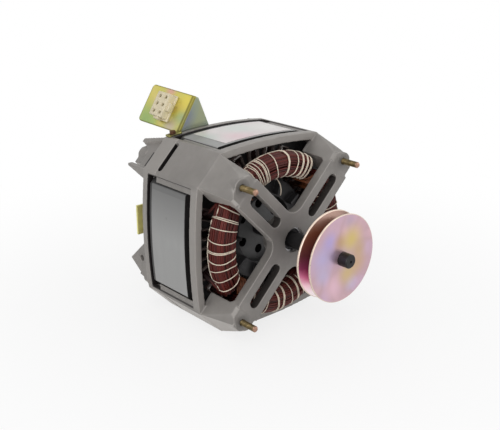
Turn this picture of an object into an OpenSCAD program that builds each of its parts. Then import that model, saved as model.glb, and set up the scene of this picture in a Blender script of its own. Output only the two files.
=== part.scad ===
// Open-frame induction motor for a washing machine, with a V-belt pulley on its shaft.
// The shaft runs along Y with the pulley towards -Y, and Z is up.
// The origin is on the shaft axis, in the plane of the four front boss faces.

/* [Frame] */
// Half of the square spacing of the four through bolts
bolt_half = 52; // [50.5:0.5:53]
// Half width of the frame over the middle of its bowed sides
frame_half = 73.9; // [73:0.1:77]
// Height of the bow of each side
side_bow = 3.1; // [2:0.1:4]
// Half length of each bowed side between the corner flats
side_half = 49.5; // [48:0.5:51]
// Width of the rim bars
rim_w = 6; // [4:0.5:6.5]
// Thickness of the corner walls
corner_wall = 6.3; // [5:0.1:7]
// Half of the clear width between neighbouring corner walls, at their stepped lips
lip_half = 42; // [41.5:0.5:43]
// Width of the stepped lip along each corner wall
lip_w = 4.5; // [3:0.5:6]
// Depth of the step of that lip
lip_step = 1; // [0.5:0.1:2]

/* [Front shield] */
// Length of the front legs, from the boss faces to the front rim
front_leg = 27; // [26:0.5:32]
// Thickness of the front rim along the shaft
front_rim_t = 7.3; // [5:0.1:9]
// Half width of the front spider arms
front_arm_half = 12.5; // [11:0.5:14]
// Thickness of the spider arms
arm_t = 7.5; // [5:0.5:8]
// Radius of the fillets between the arms
arm_fillet = 11; // [6:0.5:13]
// Distance from the shaft axis to the inner end of an arm slot
slot_in = 22.5; // [21:0.5:25]
// Distance from the shaft axis to the outer end of an arm slot
slot_out = 60.5; // [56:0.5:62]
// Width of the arm slots
slot_w = 9.5; // [6:0.5:11]
// How far the leg's foot leans in from the corner flat at the boss face
leg_lean = 6.5; // [5:0.5:7]
// Metal between a stud's bore and the inner face of a front leg
leg_wall = 5.2; // [4:0.2:6]
// Radius of the bolt bosses
boss_r = 7; // [6:0.5:7.5]
// Length of the bolt bosses
boss_len = 18; // [12:1:24]
// Radius of the bearing hub
hub_r = 19; // [18:0.5:20]
// Length of the front bearing hub
front_hub_len = 19; // [18:1:22]

/* [Rear shield] */
// Thickness of the rear rim along the shaft
rear_rim_t = 6.1; // [5:0.1:8]
// Length of the corner bands in front of the rear rim
band_len = 9.4; // [6:0.2:12]
// Length of the rear legs, from the rear rim to the outer face of the spider
rear_leg = 24.7; // [24.3:0.1:30]
// Half width of the rear spider arms
rear_arm_half = 10.5; // [9:0.5:12]
// Thickness of the rear spider arms
rear_arm_t = 6; // [5:0.5:6]
// Length of the rear bearing hub
rear_hub_len = 15; // [14.5:0.5:16]
// How far the rear leg leans in from the corner flat
rear_lean = 10.5; // [8:0.5:11]
// Radius of the arched edge of the upper corner webs
arch_r = 12.6; // [11:0.2:14]
// Thickness of the upper corner webs
web_t = 4.5; // [3:0.5:6]
// How far the upper corner webs sit back from the corner flat
web_set = 3; // [1:0.25:3.5]
// Length of the rear lugs and webs behind the rear rim
lug_len = 22; // [18:0.5:23]
// Thickness of the side lugs
lug_t = 4; // [3:0.5:5]
// Diameter of the holes in the side lugs
lug_hole_d = 5.2; // [4:0.2:6.4]
// Width of the pry notches at the parting line
notch_w = 4.5; // [2:0.5:5]
// Length of the pry notches
notch_len = 25.8; // [16:0.2:26]

/* [Stator] */
// Length of the lamination stack
stack_len = 44; // [40:1:50]
// Gap between the front rim and the stack
stack_front_gap = 6.2; // [4:0.2:9]
// Gap between the stack and the rear rim
stack_rear_gap = 2.7; // [1:0.1:5]
// How far the stack lies inside the rims
stack_inset = 0.8; // [0.4:0.1:2]
// Bore diameter of the stator
stator_bore = 83; // [82:0.5:84]
// Width of the winding slots
coil_slot_w = 8.9; // [8.8:0.1:9.2]
// Distance from the axis to the bottom of the winding slots
coil_slot_out = 66.2; // [66:0.1:67]
// Depth of the tooth tips
tooth_tip = 1.2; // [0.8:0.1:1.3]
// Width of the slot mouths
slot_mouth = 3.2; // [2:0.2:5]
// Thickness of the slot liners
liner_t = 0.4; // [0.3:0.05:0.5]
// How far the liners stand out of the stack
liner_cuff = 1.2; // [0.6:0.2:1.2]

/* [Windings] */
// Radius of the middle of the winding bundles
bundle_r = 56.4; // [56.2:0.1:56.6]
// Distance from the stack to the middle of the front bundles
bundle_h = 20.5; // [19:0.5:21]
// Distance from the stack to the middle of the rear bundles
rear_bundle_h = 15.9; // [15.4:0.1:16]
// Spacing of the strands in a bundle
strand_pitch = 8.7; // [8.6:0.1:8.8]
// Strand radius in the bundles
strand_r = 3.9; // [3.6:0.1:3.9]
// Strand radius in the slots
slot_strand_r = 3.6; // [3:0.1:3.6]
// Strand radius of the start winding in the bundles
start_r = 2.4; // [2:0.1:2.4]
// Strand radius of the start winding in the slots
slot_start_r = 1.4; // [1.1:0.1:1.4]
// Radius of the lacing cord
cord_r = 0.55; // [0.4:0.05:0.6]
// Turns of lacing cord on each bundle
cord_turns = 8; // [6:1:8]
// Half of the angle that the lacing covers on each bundle
cord_half_angle = 18; // [14:1:18]

/* [Rotor] */
// Diameter of the shaft in its bearings
shaft_d = 12.7; // [11:0.1:13]
// Diameter of the shaft's nose, which carries the pulley
nose_d = 10.5; // [9:0.1:10.8]
// Length of the nose that stands out of the pulley
nose_out = 8.2; // [5:0.2:12]
// Air gap between rotor and stator
air_gap = 0.5; // [0.3:0.05:0.6]
// Distance from the axis to the six vent holes
vent_circle = 19; // [17:0.5:20]
// Diameter of the vent holes
vent_d = 7.4; // [4:0.2:8]
// Inner radius of the end rings
ring_in = 27; // [26:0.5:30]
// Thickness of the end rings
ring_t = 7; // [5:0.5:7]
// Number of fan blades on each end ring
blades = 10; // [6:1:12]
// Length of the front fan blades
front_blade = 6; // [4:0.5:7]
// Length of the rear fan blades
rear_blade = 3; // [2:0.5:4]
// Thickness of the fan blades
blade_t = 2.2; // [1.5:0.1:3]

/* [Pulley] */
// Outer diameter of the pulley
pulley_d = 66.3; // [56:0.1:72]
// Distance from the boss faces to the front face of the pulley
pulley_front = 48.8; // [46:0.2:56]
// Width of the pulley over its two rims
pulley_w = 13.2; // [11:0.2:15]
// Thickness of the pulley's rims
pulley_rim_t = 1.5; // [1:0.1:2]
// Diameter at the bottom of the belt groove
groove_d = 40; // [30:1:44]
// Radius of the pulley's hub sleeve
sleeve_r = 9; // [7.5:0.5:10]
// Length of the hub sleeve behind the pulley's web
sleeve_len = 8; // [6:0.5:9]
// Thickness of the pulley's rear web
pulley_web = 1.8; // [1.2:0.1:2.4]

/* [Fasteners] */
// Diameter of the through bolts
bolt_d = 4.8; // [4:0.1:5]
// Length of the bolt ends that stand out of the bosses
stud_len = 15; // [10:0.5:20]
// Width across the corners of the bolt heads
bolt_head_d = 9.2; // [8:0.2:10]
// Height of the bolt heads
bolt_head_t = 3.6; // [3:0.2:4]

/* [Connector] */
// Distance of the bracket's fold from the motor's middle, at the rim
bracket_x = 38.5; // [36:0.5:40]
// Lean of the bracket's folded plate from the horizontal, in degrees
bracket_lean = 57.8; // [50:0.2:64]
// Length of the folded plate along its slope
bracket_h = 32; // [29:0.5:34]
// Length of the folded plate along the shaft
bracket_len = 45; // [39:0.5:46]
// Angle by which the bracket's fold falls short of square, in degrees
bracket_open = 9; // [0:1:12]
// Thickness of the bracket's sheet
sheet_t = 1.6; // [1.2:0.1:2]
// Length of the gusset's foot along the rim
gusset_foot = 31; // [26:0.5:34]
// Pitch of the connector's pins
pin_pitch = 6.35; // [5.5:0.05:6.5]
// Height of the connector above the bracket
connector_out = 9; // [6:0.5:11]
// Depth of the connector behind the bracket
connector_in = 8; // [6:0.5:9]
// Diameter of the lead wires
lead_d = 2.2; // [1.6:0.1:2.4]

/* [Bearings] */
// Outer diameter of the sleeve bearings
bush_d = 21; // [19:0.5:22]
// Outer diameter of the oil felts
felt_d = 26; // [24:0.5:27]
// Diameter of the recess in the front hub
recess_d = 19.4; // [18:0.2:20]
// Depth of that recess
recess_depth = 6; // [5:0.5:7]
// Running clearance of the shaft in its bearings, on the radius
run_gap = 0.05; // [0.02:0.01:0.1]

/* [Hidden] */
$fn = 48;

// Clearances
face_gap = 0.3;
fit_gap = 0.05;
cut = 1;

// How far the legs sit inside the faces they join, and how deep they run into the rim
leg_in = 0.2;
leg_bury = 3;

// Plan of the frame
bow_r = (side_half * side_half + side_bow * side_bow) / (2 * side_bow);
corner_d = (frame_half - side_bow + side_half) / sqrt(2);
wall_d = corner_d - corner_wall;
stack_d = wall_d - face_gap;
bolt_dist = bolt_half * sqrt(2);
corner_half = (frame_half - side_bow - side_half) / sqrt(2);

// Rounding of the front feet: its radius at the boss faces and how far out it is centred
foot_r = front_arm_half + 0.6;
round_d = corner_d - leg_lean + 1 - foot_r;

// Stations along the shaft
rim_front = front_leg;
rim_back = rim_front + front_rim_t;
stack_front = rim_back + stack_front_gap;
stack_back = stack_front + stack_len;
rear_rim_front = stack_back + stack_rear_gap;
rear_rim_back = rear_rim_front + rear_rim_t;
parting = rear_rim_front - band_len;
rear_plane = rear_rim_back + rear_leg;
rear_arm_front = rear_plane - rear_arm_t;
rear_hub_front = rear_plane + 2 - rear_hub_len;
pulley_back = -pulley_front + pulley_w;
nose_tip = -pulley_front - nose_out;
shaft_back = rear_plane + 3;

// Radii
shaft_r = shaft_d / 2;
nose_r = nose_d / 2;
bolt_r = bolt_d / 2;
bolt_bore_r = bolt_r + 0.15;
bolt_shank_r = bolt_r - 0.25;
stack_hole_r = bolt_r + 0.4;
bush_r = bush_d / 2;
felt_r = felt_d / 2;
recess_r = recess_d / 2;
bore_r = stator_bore / 2;
rotor_r = bore_r - air_gap;
slot_in_r = bore_r + tooth_tip;

// Colours
cast_grey = [0.60, 0.59, 0.57];
steel_grey = [0.56, 0.56, 0.56];
enamel_red = [0.45, 0.16, 0.13];
enamel_brown = [0.42, 0.24, 0.12];
cord_cream = [0.82, 0.75, 0.66];
zinc_yellow = [0.78, 0.74, 0.42];
zinc_lilac = [0.76, 0.66, 0.76];
dark_grey = [0.18, 0.18, 0.19];
bronze = [0.66, 0.47, 0.24];
cream = [0.87, 0.82, 0.72];

// Places of the inner pieces
seat_t = 5.5;
felt_t = 7;
hub_wall = 2.5;
retainer_t = 2;
seal_t = 2.6;
snap_t = 0.6;
felt_front = recess_depth + seat_t;
switch_t = 1.6;
governor_y = stack_back + 2.5;
governor_base_t = 2;
pivot_x = 17;
pivot_pin_r = 1.2;
collar_len = 5.2;
collar_lip = 1;
collar_flange_r = 13.5;
collar_flange_t = 2.2;
collar_travel = 2.6;
pivot_y = governor_y + governor_base_t + collar_travel + collar_len / 2 + collar_lip + 0.6;
collar_y = pivot_y - collar_len / 2;
weight_reach = 8;
lever_t = 1.2;
lever_y = collar_y + collar_len + collar_flange_t + face_gap;
lever_pivot_x = -38;
label_t = 0.35;
label_half_len = 19;
label_left = -31;
label_right = 37;

// Winding layout: poles at the four sides, loops 0 and 1 outside loops 2 and 3
main_slot_angle = [37.5, 37.5, 22.5, 22.5];
main_arch_angle = [37.5, 37.5, 29, 29];
slot_r_out = coil_slot_out - liner_t - slot_strand_r - 0.3;
slot_r_in = slot_r_out - 2 * slot_strand_r - 0.6;
main_slot_r = [slot_r_out, slot_r_in, slot_r_in, slot_r_out];
main_side = [1, -1, -1, 1];
main_layer = [1, 1, -1, -1];
start_slot_angle = 7.5;
start_dip = 0.8;
start_drop = 2 * start_r + 1.2;
start_slot_r0 = slot_r_in - slot_strand_r - slot_start_r - 0.5;
start_slot_r1 = start_slot_r0 - 2 * slot_start_r - 0.5 - start_dip;
start_slot_r = [start_slot_r0, start_slot_r1];
start_arch_r = [bundle_r - 1.4, bundle_r - 4.4];
start_top = stack_front - arm_t - start_r - 2.4;
rear_start_top = rear_arm_front - stack_back - start_r - 2.4;
start_h = [start_top - start_drop, start_top];
rear_start_h = [rear_start_top - start_drop, rear_start_top];
start_stub = 4 * slot_start_r;
arch_power = 0.55;
arch_steps = 10;
tube_sides = 6;
stub = 2 * slot_strand_r;
cord_rings = 8;

// Extrudes an outline drawn in X and Z from y0 to y1
module along(y0, y1) {
    translate([0, y1, 0])
        rotate([90, 0, 0])
            linear_extrude(height = y1 - y0)
                children();
}

// Turns a profile of radius against Y round the shaft axis
module turned() {
    rotate([-90, 0, 0])
        rotate_extrude(convexity = 4)
            children();
}

// Turns the corner frame to corner i: X runs out along the diagonal, Z across it
module corner(i) {
    rotate([0, -(45 + 90 * i), 0])
        children();
}

// Extrudes an outline of Z against Y, in the corner frame, from d0 out to d1
module slab(d0, d1) {
    translate([d1, 0, 0])
        rotate([0, -90, 0])
            linear_extrude(height = d1 - d0)
                children();
}

module at_bolts() {
    for (sx = [-1, 1], sz = [-1, 1])
        translate([sx * bolt_half, sz * bolt_half])
            children();
}

// Bowed square with flat corners, moved in by inset
module outline(inset, flat = corner_d) {
    intersection() {
        intersection_for (i = [0 : 3])
            rotate(90 * i)
                translate([frame_half - bow_r, 0])
                    circle(r = bow_r - inset, $fn = 96);
        rotate(45)
            square(2 * (flat - inset), center = true);
    }
}

// The four corners of the outline outside the given half width and corner flat
module corner_pieces(inset, half) {
    big = 2 * frame_half;
    difference() {
        outline(inset);
        rotate(45)
            square(2 * wall_d, center = true);
        square([2 * half, big], center = true);
        square([big, 2 * half], center = true);
    }
}

module corner_walls() {
    corner_pieces(0, lip_half + lip_w);
    corner_pieces(lip_step, lip_half);
}

// Crossed spider arms with fillets between them
module arms(half, reach) {
    inner = half + arm_fillet;
    rotate(45) {
        square([2 * reach, 2 * half], center = true);
        square([2 * half, 2 * reach], center = true);
        difference() {
            square(2 * inner, center = true);
            for (sx = [-1, 1], sy = [-1, 1])
                translate([sx * inner, sy * inner])
                    circle(r = arm_fillet);
        }
    }
}

module arm_slots(inner, outer, width) {
    for (i = [0 : 3])
        rotate(45 + 90 * i) {
            translate([inner + width / 2, -width / 2])
                square([outer - inner - width, width]);
            for (d = [inner + width / 2, outer - width / 2])
                translate([d, 0])
                    circle(d = width);
        }
}

// Leg that leans in from the corner flat at the rim to the front boss
module front_leg_shape() {
    toe = 2.5;
    foot_d = corner_d - leg_lean;
    root_d = bolt_dist - 10;
    outer = corner_d - leg_in;
    inner = bolt_dist - bolt_bore_r - leg_wall;
    top_half = corner_half - leg_in;
    foot_half = front_arm_half - leg_in;
    buried = rim_front + leg_bury;
    bend = rim_front + 3 * leg_in;
    profile = [
        [outer, buried], [outer, bend], [foot_d + 1, toe], [foot_d - 1, leg_in],
        [root_d, leg_in], [root_d, arm_t - leg_in], [inner, arm_t + toe],
        [inner, bend], [inner, buried]
    ];
    sides = [
        [top_half, rim_back], [top_half, bend], [foot_half, toe],
        [foot_half - toe, 0], [toe - foot_half, 0], [-foot_half, toe],
        [-top_half, bend], [-top_half, rim_back]
    ];
    crown = norm([outer - round_d, top_half]) + leg_in;
    growth = (crown - foot_r) / bend;
    intersection() {
        linear_extrude(height = 3 * corner_half, center = true)
            polygon(profile);
        slab(root_d - cut, corner_d + cut)
            polygon(sides);
        translate([round_d, buried + 1, 0])
            rotate([90, 0, 0])
                cylinder(r1 = foot_r + growth * (buried + 1), r2 = foot_r - growth, h = buried + 2);
    }
}

module rear_leg_shape() {
    foot_d = corner_d - rear_lean;
    root_d = bolt_dist - 12;
    neck = rear_rim_back + 7;
    outer = corner_d - web_set - leg_in;
    inner = wall_d + leg_in;
    top_half = corner_half - leg_in;
    foot_half = rear_arm_half - leg_in;
    buried = rear_rim_back - leg_bury;
    bend = rear_rim_back - 3 * leg_in;
    foot_y = rear_plane - leg_in;
    arm_y = rear_arm_front + leg_in;
    profile = [
        [outer, buried], [outer, bend], [foot_d + 3.5, foot_y], [root_d, foot_y],
        [root_d, arm_y], [foot_d - 4, arm_y], [inner, bend], [inner, buried]
    ];
    sides = [
        [top_half, rear_rim_front], [top_half, bend], [foot_half, neck],
        [foot_half, rear_plane], [-foot_half, rear_plane], [-foot_half, neck],
        [-top_half, bend], [-top_half, rear_rim_front]
    ];
    intersection() {
        linear_extrude(height = 3 * corner_half, center = true)
            polygon(profile);
        slab(root_d - cut, corner_d + cut)
            polygon(sides);
    }
}

// Web on the upper right corner flat, with its arched rear edge and side gusset
module rear_web() {
    edge = corner_half - face_gap;
    horn = corner_half - 6.3;
    rib_t = 3.4;
    arch_in = 1.2;
    arch_t = horn - rib_t - sqrt(arch_r * arch_r - arch_in * arch_in);
    rib_d = corner_d - face_gap / 2;
    arch_y = rear_rim_back + lug_len + arch_in;
    web_d = corner_d - web_set;
    side_x = frame_half - side_bow - face_gap;
    side_z = side_half - face_gap;
    corner(0)
        difference() {
            union() {
                slab(web_d - web_t, web_d)
                    polygon([
                        [edge, rear_rim_back - cut], [horn, rear_rim_back + lug_len],
                        [-edge, rear_rim_back + lug_len], [-edge, rear_rim_back - cut]
                    ]);
                slab(web_d - web_t / 2, rib_d)
                    polygon([
                        [edge, rear_rim_back - cut], [horn, rear_rim_back + lug_len],
                        [horn - rib_t, rear_rim_back + lug_len], [edge - rib_t, rear_rim_back - cut]
                    ]);
            }
            translate([web_d - web_t - cut, arch_y, arch_t])
                rotate([0, 90, 0])
                    cylinder(r = arch_r, h = web_t + web_set + 2 * cut);
        }
    translate([side_x - lug_t, 0, 0])
        rotate([90, 0, 90])
            linear_extrude(height = lug_t)
                polygon([
                    [rear_rim_back - cut, side_z], [rear_rim_back + lug_len, side_z],
                    [rear_rim_back + lug_len, side_z - 2], [rear_rim_back - cut, side_z - 9]
                ]);
}

// Triangular lug on the right side, with its hole
module side_lug() {
    lug_x = frame_half - 2;
    lug_z = -30;
    translate([lug_x - lug_t, 0, 0])
        rotate([90, 0, 90])
            linear_extrude(height = lug_t)
                difference() {
                    polygon([
                        [rear_rim_back - cut, lug_z + 21], [rear_rim_back + lug_len, lug_z],
                        [rear_rim_back - cut, lug_z - 16]
                    ]);
                    translate([rear_rim_back + 6.5, lug_z + 4])
                        circle(d = lug_hole_d);
                }
}

module pry_notches() {
    for (i = [0 : 3])
        corner(i)
            slab(wall_d - cut, corner_d + cut) {
                translate([-notch_len / 2 + notch_w / 2, parting - notch_w])
                    square([notch_len - notch_w, notch_w + cut]);
                for (s = [-1, 1])
                    translate([s * (notch_len - notch_w) / 2, parting - notch_w / 2])
                        circle(d = notch_w);
            }
}

module front_end_shield() {
    color(cast_grey)
        difference() {
            union() {
                along(rim_front, rim_back)
                    difference() {
                        outline(0);
                        outline(rim_w);
                    }
                along(rim_front, parting)
                    corner_walls();
                for (i = [0 : 3])
                    corner(i)
                        front_leg_shape();
                along(0, arm_t)
                    arms(front_arm_half, round_d);
                along(0, boss_len)
                    at_bolts()
                        circle(r = boss_r);
                along(0, arm_t)
                    circle(r = hub_r);
                along(0, front_hub_len)
                    circle(r = felt_r + hub_wall);
            }
            along(-cut, arm_t + cut)
                arm_slots(slot_in, slot_out, slot_w);
            along(-cut, parting + cut)
                at_bolts()
                    circle(r = bolt_bore_r);
            turned()
                polygon([
                    [0, -cut], [recess_r, -cut], [recess_r, recess_depth],
                    [bush_r + fit_gap, recess_depth], [bush_r + fit_gap, felt_front],
                    [felt_r, felt_front], [felt_r, front_hub_len + cut], [0, front_hub_len + cut]
                ]);
            pry_notches();
        }
}

module rear_end_shield() {
    pocket = rear_hub_front + felt_t;
    color(cast_grey)
        difference() {
            union() {
                along(rear_rim_front, rear_rim_back)
                    difference() {
                        outline(0);
                        outline(rim_w);
                    }
                along(parting, rear_rim_back)
                    corner_pieces(0, lip_half + lip_w);
                for (i = [0 : 3])
                    corner(i)
                        rear_leg_shape();
                along(rear_arm_front, rear_plane)
                    arms(rear_arm_half, bolt_dist);
                along(rear_plane - boss_len / 2, rear_plane)
                    at_bolts()
                        circle(r = boss_r);
                along(rear_hub_front, rear_plane + 2)
                    circle(r = hub_r);
                for (m = [0, 1])
                    mirror([m, 0, 0]) {
                        rear_web();
                        side_lug();
                    }
            }
            along(parting - cut, rear_plane + cut)
                at_bolts()
                    circle(r = bolt_bore_r);
            turned()
                polygon([
                    [0, rear_hub_front - cut], [felt_r, rear_hub_front - cut], [felt_r, pocket],
                    [bush_r + fit_gap, pocket], [bush_r + fit_gap, rear_plane + 2 + cut],
                    [0, rear_plane + 2 + cut]
                ]);
        }
}

// One winding slot, running out along X
module coil_slot(inset) {
    half = coil_slot_w / 2 - inset;
    translate([slot_in_r + inset, -half])
        square([coil_slot_out - slot_in_r - 2 * inset, 2 * half]);
}

module at_slots() {
    for (i = [0 : 23])
        rotate(7.5 + 15 * i)
            children();
}

module stator_stack() {
    color(steel_grey)
        along(stack_front, stack_back)
            difference() {
                outline(stack_inset, stack_d + stack_inset);
                circle(r = bore_r);
                at_slots() {
                    coil_slot(0);
                    translate([bore_r - cut, -slot_mouth / 2])
                        square([tooth_tip + 2 * cut, slot_mouth]);
                }
                at_bolts()
                    circle(r = stack_hole_r);
            }
}

module slot_liners() {
    color([0.20, 0.14, 0.12])
        along(stack_front - liner_cuff, stack_back + liner_cuff)
            at_slots()
                difference() {
                    coil_slot(fit_gap);
                    coil_slot(fit_gap + liner_t);
                    translate([bore_r, -slot_mouth / 2])
                        square([tooth_tip + 2 * cut, slot_mouth]);
                }
}

// Tube along points with one radius per point, closed by a fan at each end
function unit(v) = v / norm(v);
function tangent(p, i) = unit(p[min(i + 1, len(p) - 1)] - p[max(i - 1, 0)]);
function ring(p, radii, ref, i, sides) =
    let (t = tangent(p, i))
    let (n = unit(cross(t, ref[i])))
    let (b = cross(t, n))
    [for (k = [0 : sides - 1]) p[i] + radii[i] * (cos(360 * k / sides) * n + sin(360 * k / sides) * b)];
function tube_points(p, radii, ref, sides) =
    [for (i = [0 : len(p) - 1]) each ring(p, radii, ref, i, sides)];
function side_faces(rings, sides) =
    [for (i = [0 : rings - 2], k = [0 : sides - 1])
        let (a = i * sides + k)
        let (b = i * sides + (k + 1) % sides)
        each [[a, a + sides, b], [b, a + sides, b + sides]]];
function cap_faces(first, sides, flip) =
    [for (k = [1 : sides - 2])
        flip ? [first, first + k + 1, first + k] : [first, first + k, first + k + 1]];

module tube(p, radii, ref, sides = tube_sides) {
    polyhedron(
        points = tube_points(p, radii, ref, sides),
        faces = concat(
            side_faces(len(p), sides),
            cap_faces(0, sides, false),
            cap_faces((len(p) - 1) * sides, sides, true)
        )
    );
}

// Least clear gap between stretches of one tube that lie further than far from each other along it
function seg_gap(q, a, b) =
    let (d = b - a)
    let (s = max(0, min(1, (q - a) * d / (d * d))))
    norm(q - a - s * d);
function lengths(p) =
    [for (i = 0, s = 0; i < len(p); s = s + (i + 1 < len(p) ? norm(p[i + 1] - p[i]) : 0), i = i + 1) s];
function self_gap(p, radii, far) =
    let (s = lengths(p))
    min([for (i = [0 : len(p) - 1], j = [0 : len(p) - 2])
        if (s[j] - s[i] > far || s[i] - s[j + 1] > far)
            seg_gap(p[i], p[j], p[j + 1]) - radii[i] - max(radii[j], radii[j + 1])]);

// Point at an angle, radius and station, round the shaft axis
function polar(angle, r, y) = [r * cos(angle), y, r * sin(angle)];
function mix(a, b, w) = a + (b - a) * w;
function shaped(v) = sign(v) * pow(abs(v), arch_power);
function step_to(s, start, span) = max(0, min(1, (s - start) / span));

// One point of a main loop: k is its values' loop, th its angle round the loop
function main_mix(list, k, w) = mix(list[k], list[min(k + 1, 3)], w);
function main_point(pole, k, th, w) =
    let (rise = abs(shaped(sin(th))))
    let (front = th <= 180)
    let (spread = mix(main_mix(main_slot_angle, k, w), main_mix(main_arch_angle, k, w),
        min(1, 1.6 * abs(sin(th)))))
    let (r = mix(main_mix(main_slot_r, k, w), bundle_r + main_mix(main_side, k, w) * strand_pitch / 2, rise))
    let (h = (front ? bundle_h : rear_bundle_h) + main_mix(main_layer, k, w) * strand_pitch / 2)
    let (y = front ? stack_front - h * rise : stack_back + h * rise)
    polar(pole + spread * shaped(cos(th)), r, y);
function arch_angles(first) = [for (i = [0 : arch_steps]) first + 180 * i / arch_steps];
function main_front(pole, k) = [for (th = arch_angles(0)) main_point(pole, k, th, 0)];
function main_rear(pole, k) =
    [for (i = [0 : arch_steps])
        let (s = i / arch_steps)
        let (th = 180.001 + 179.999 * s)
        main_point(pole, k, th, step_to(s, 0.6 - 0.15 * k, 0.25))];
function main_path(pole) = concat(
    [main_point(pole, 0, 0, 0) + [0, stack_len + stub, 0]],
    [main_point(pole, 0, 0, 0) + [0, stack_len, 0]],
    [for (k = [0 : 2]) each concat(main_front(pole, k), main_rear(pole, k))],
    main_front(pole, 3),
    [main_point(pole, 3, 180, 0) + [0, stack_len + stub, 0]]
);
function arch_radii(slot, arch) =
    [for (th = arch_angles(0)) mix(slot, arch, shaped(abs(sin(th))))];
function main_radii() = concat(
    [slot_strand_r, slot_strand_r],
    [for (k = [0 : 6]) each arch_radii(slot_strand_r, strand_r)],
    [slot_strand_r]
);

module main_winding(pole) {
    p = main_path(pole);
    radii = main_radii();
    echo(piece = "main winding", pole = pole, least_gap = self_gap(p, radii, 5 * strand_r));
    color(enamel_red)
        tube(p, radii, [for (q = p) polar(pole, 1, 0)]);
}

// One point of a start loop, which leans out between the main loops at its top
lean_from = 0.7;
function start_lean(th) = max(0, (abs(sin(th)) - lean_from) / (1 - lean_from));
function start_mix(list, k, w) = mix(list[k], list[min(k + 1, 1)], w);
function start_point(pole, k, th, w) =
    let (rise = abs(shaped(sin(th))))
    let (dip = start_dip * min(1, abs(sin(th)) / 0.3))
    let (r = mix(start_mix(start_slot_r, k, w) - dip, start_mix(start_arch_r, k, w), start_lean(th)))
    let (front = stack_front - start_mix(start_h, k, w) * rise)
    let (back = stack_back + start_mix(rear_start_h, k, w) * rise)
    polar(pole + start_slot_angle * sign(cos(th)) * pow(abs(cos(th)), 1.1), r, th <= 180 ? front : back);
function start_front(pole, k) = [for (th = arch_angles(0)) start_point(pole, k, th, 0)];
function start_rear(pole, k) =
    [for (i = [0 : arch_steps])
        let (s = i / arch_steps)
        start_point(pole, k, 180.001 + 179.999 * s, step_to(s, 0.4, 0.2))];
function start_path(pole) = concat(
    [start_point(pole, 0, 0, 0) + [0, stack_len + start_stub, 0]],
    [start_point(pole, 0, 0, 0) + [0, stack_len, 0]],
    start_front(pole, 0),
    start_rear(pole, 0),
    start_front(pole, 1),
    [start_point(pole, 1, 180, 0) + [0, stack_len + start_stub, 0]]
);
function start_radii() = concat(
    [slot_start_r, slot_start_r],
    [for (k = [0 : 2], th = arch_angles(0)) mix(slot_start_r, start_r, start_lean(th))],
    [slot_start_r]
);

module start_winding(pole) {
    p = start_path(pole);
    radii = start_radii();
    echo(piece = "start winding", pole = pole, least_gap = self_gap(p, radii, 6 * start_r));
    color(enamel_brown)
        tube(p, radii, [for (q = p) polar(pole, 1, 0)]);
}

// Lacing cord: one helix round a rounded square that holds the four strands
cord_flat = strand_pitch / 2 + strand_r + 2 * cord_r + 1.5;
cord_corner = cord_flat - 1.4;
function cord_section(i) =
    let (c = i % 2 == 0 ? cord_flat : cord_corner * sqrt(2))
    [c * cos(360 * i / cord_rings), c * sin(360 * i / cord_rings)];
function cord_path(pole) =
    let (last = cord_turns * cord_rings)
    [for (i = [0 : last])
        let (s = cord_section(i))
        let (angle = pole + cord_half_angle * (2 * i / last - 1))
        polar(angle, bundle_r + s[0], stack_front - bundle_h + s[1])];

module lacing_cord(pole) {
    p = cord_path(pole);
    radii = [for (q = p) cord_r];
    echo(piece = "lacing cord", pole = pole, least_gap = self_gap(p, radii, 20 * cord_r));
    color(cord_cream)
        tube(p, radii, [for (q = p) cross(polar(pole, 1, 0), [0, 1, 0])]);
}

module through_bolts() {
    color(zinc_yellow) {
        along(-stud_len, 0)
            at_bolts()
                circle(r = bolt_r);
        along(-cut, rear_plane)
            at_bolts()
                circle(r = bolt_shank_r);
        along(rear_plane, rear_plane + bolt_head_t)
            at_bolts()
                circle(d = bolt_head_d, $fn = 6);
    }
}

module bush(y0, y1) {
    color(bronze)
        along(y0, y1)
            difference() {
                circle(r = bush_r);
                circle(r = shaft_r + run_gap);
            }
}

module front_bearing() {
    bush(recess_depth + fit_gap, front_hub_len - 1);
}

module rear_bearing() {
    bush(rear_hub_front + 1, rear_plane + 1);
}

module felt(y0) {
    color([0.72, 0.68, 0.58])
        along(y0, y0 + felt_t - retainer_t - 1)
            difference() {
                circle(r = felt_r - fit_gap);
                circle(r = bush_r + fit_gap);
            }
}

module front_oil_felt() {
    felt(felt_front + fit_gap);
}

module rear_oil_felt() {
    felt(rear_hub_front + retainer_t + 1 - fit_gap);
}

module retainer(y0) {
    color(steel_grey)
        along(y0, y0 + retainer_t)
            difference() {
                circle(r = felt_r - fit_gap);
                circle(r = bush_r + fit_gap);
            }
}

module front_retainer() {
    retainer(felt_front + felt_t - retainer_t - 1 + 2 * fit_gap);
}

module rear_retainer() {
    retainer(rear_hub_front + 1 - 2 * fit_gap);
}

module front_seal() {
    color([0.06, 0.06, 0.06])
        along(recess_depth - seal_t, recess_depth - fit_gap)
            difference() {
                circle(r = recess_r - fit_gap);
                circle(r = shaft_r + 2 * run_gap);
            }
}

module front_snap_ring() {
    color([0.75, 0.75, 0.76])
        along(recess_depth - seal_t - snap_t - fit_gap, recess_depth - seal_t - fit_gap)
            difference() {
                circle(r = recess_r - fit_gap);
                circle(r = recess_r - 1.2);
                translate([0, -recess_r])
                    square([3, 2 * recess_r], center = true);
            }
}

// Bracket frame: X runs up the slope of the folded plate, Z out of its face
bracket_z = frame_half - bracket_x * bracket_x / (2 * bow_r);
bracket_y = rear_rim_back;
module on_bracket() {
    translate([-bracket_x, bracket_y, bracket_z])
        rotate([0, -bracket_lean, 0])
            rotate([bracket_open, 0, 0])
                children();
}

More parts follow.
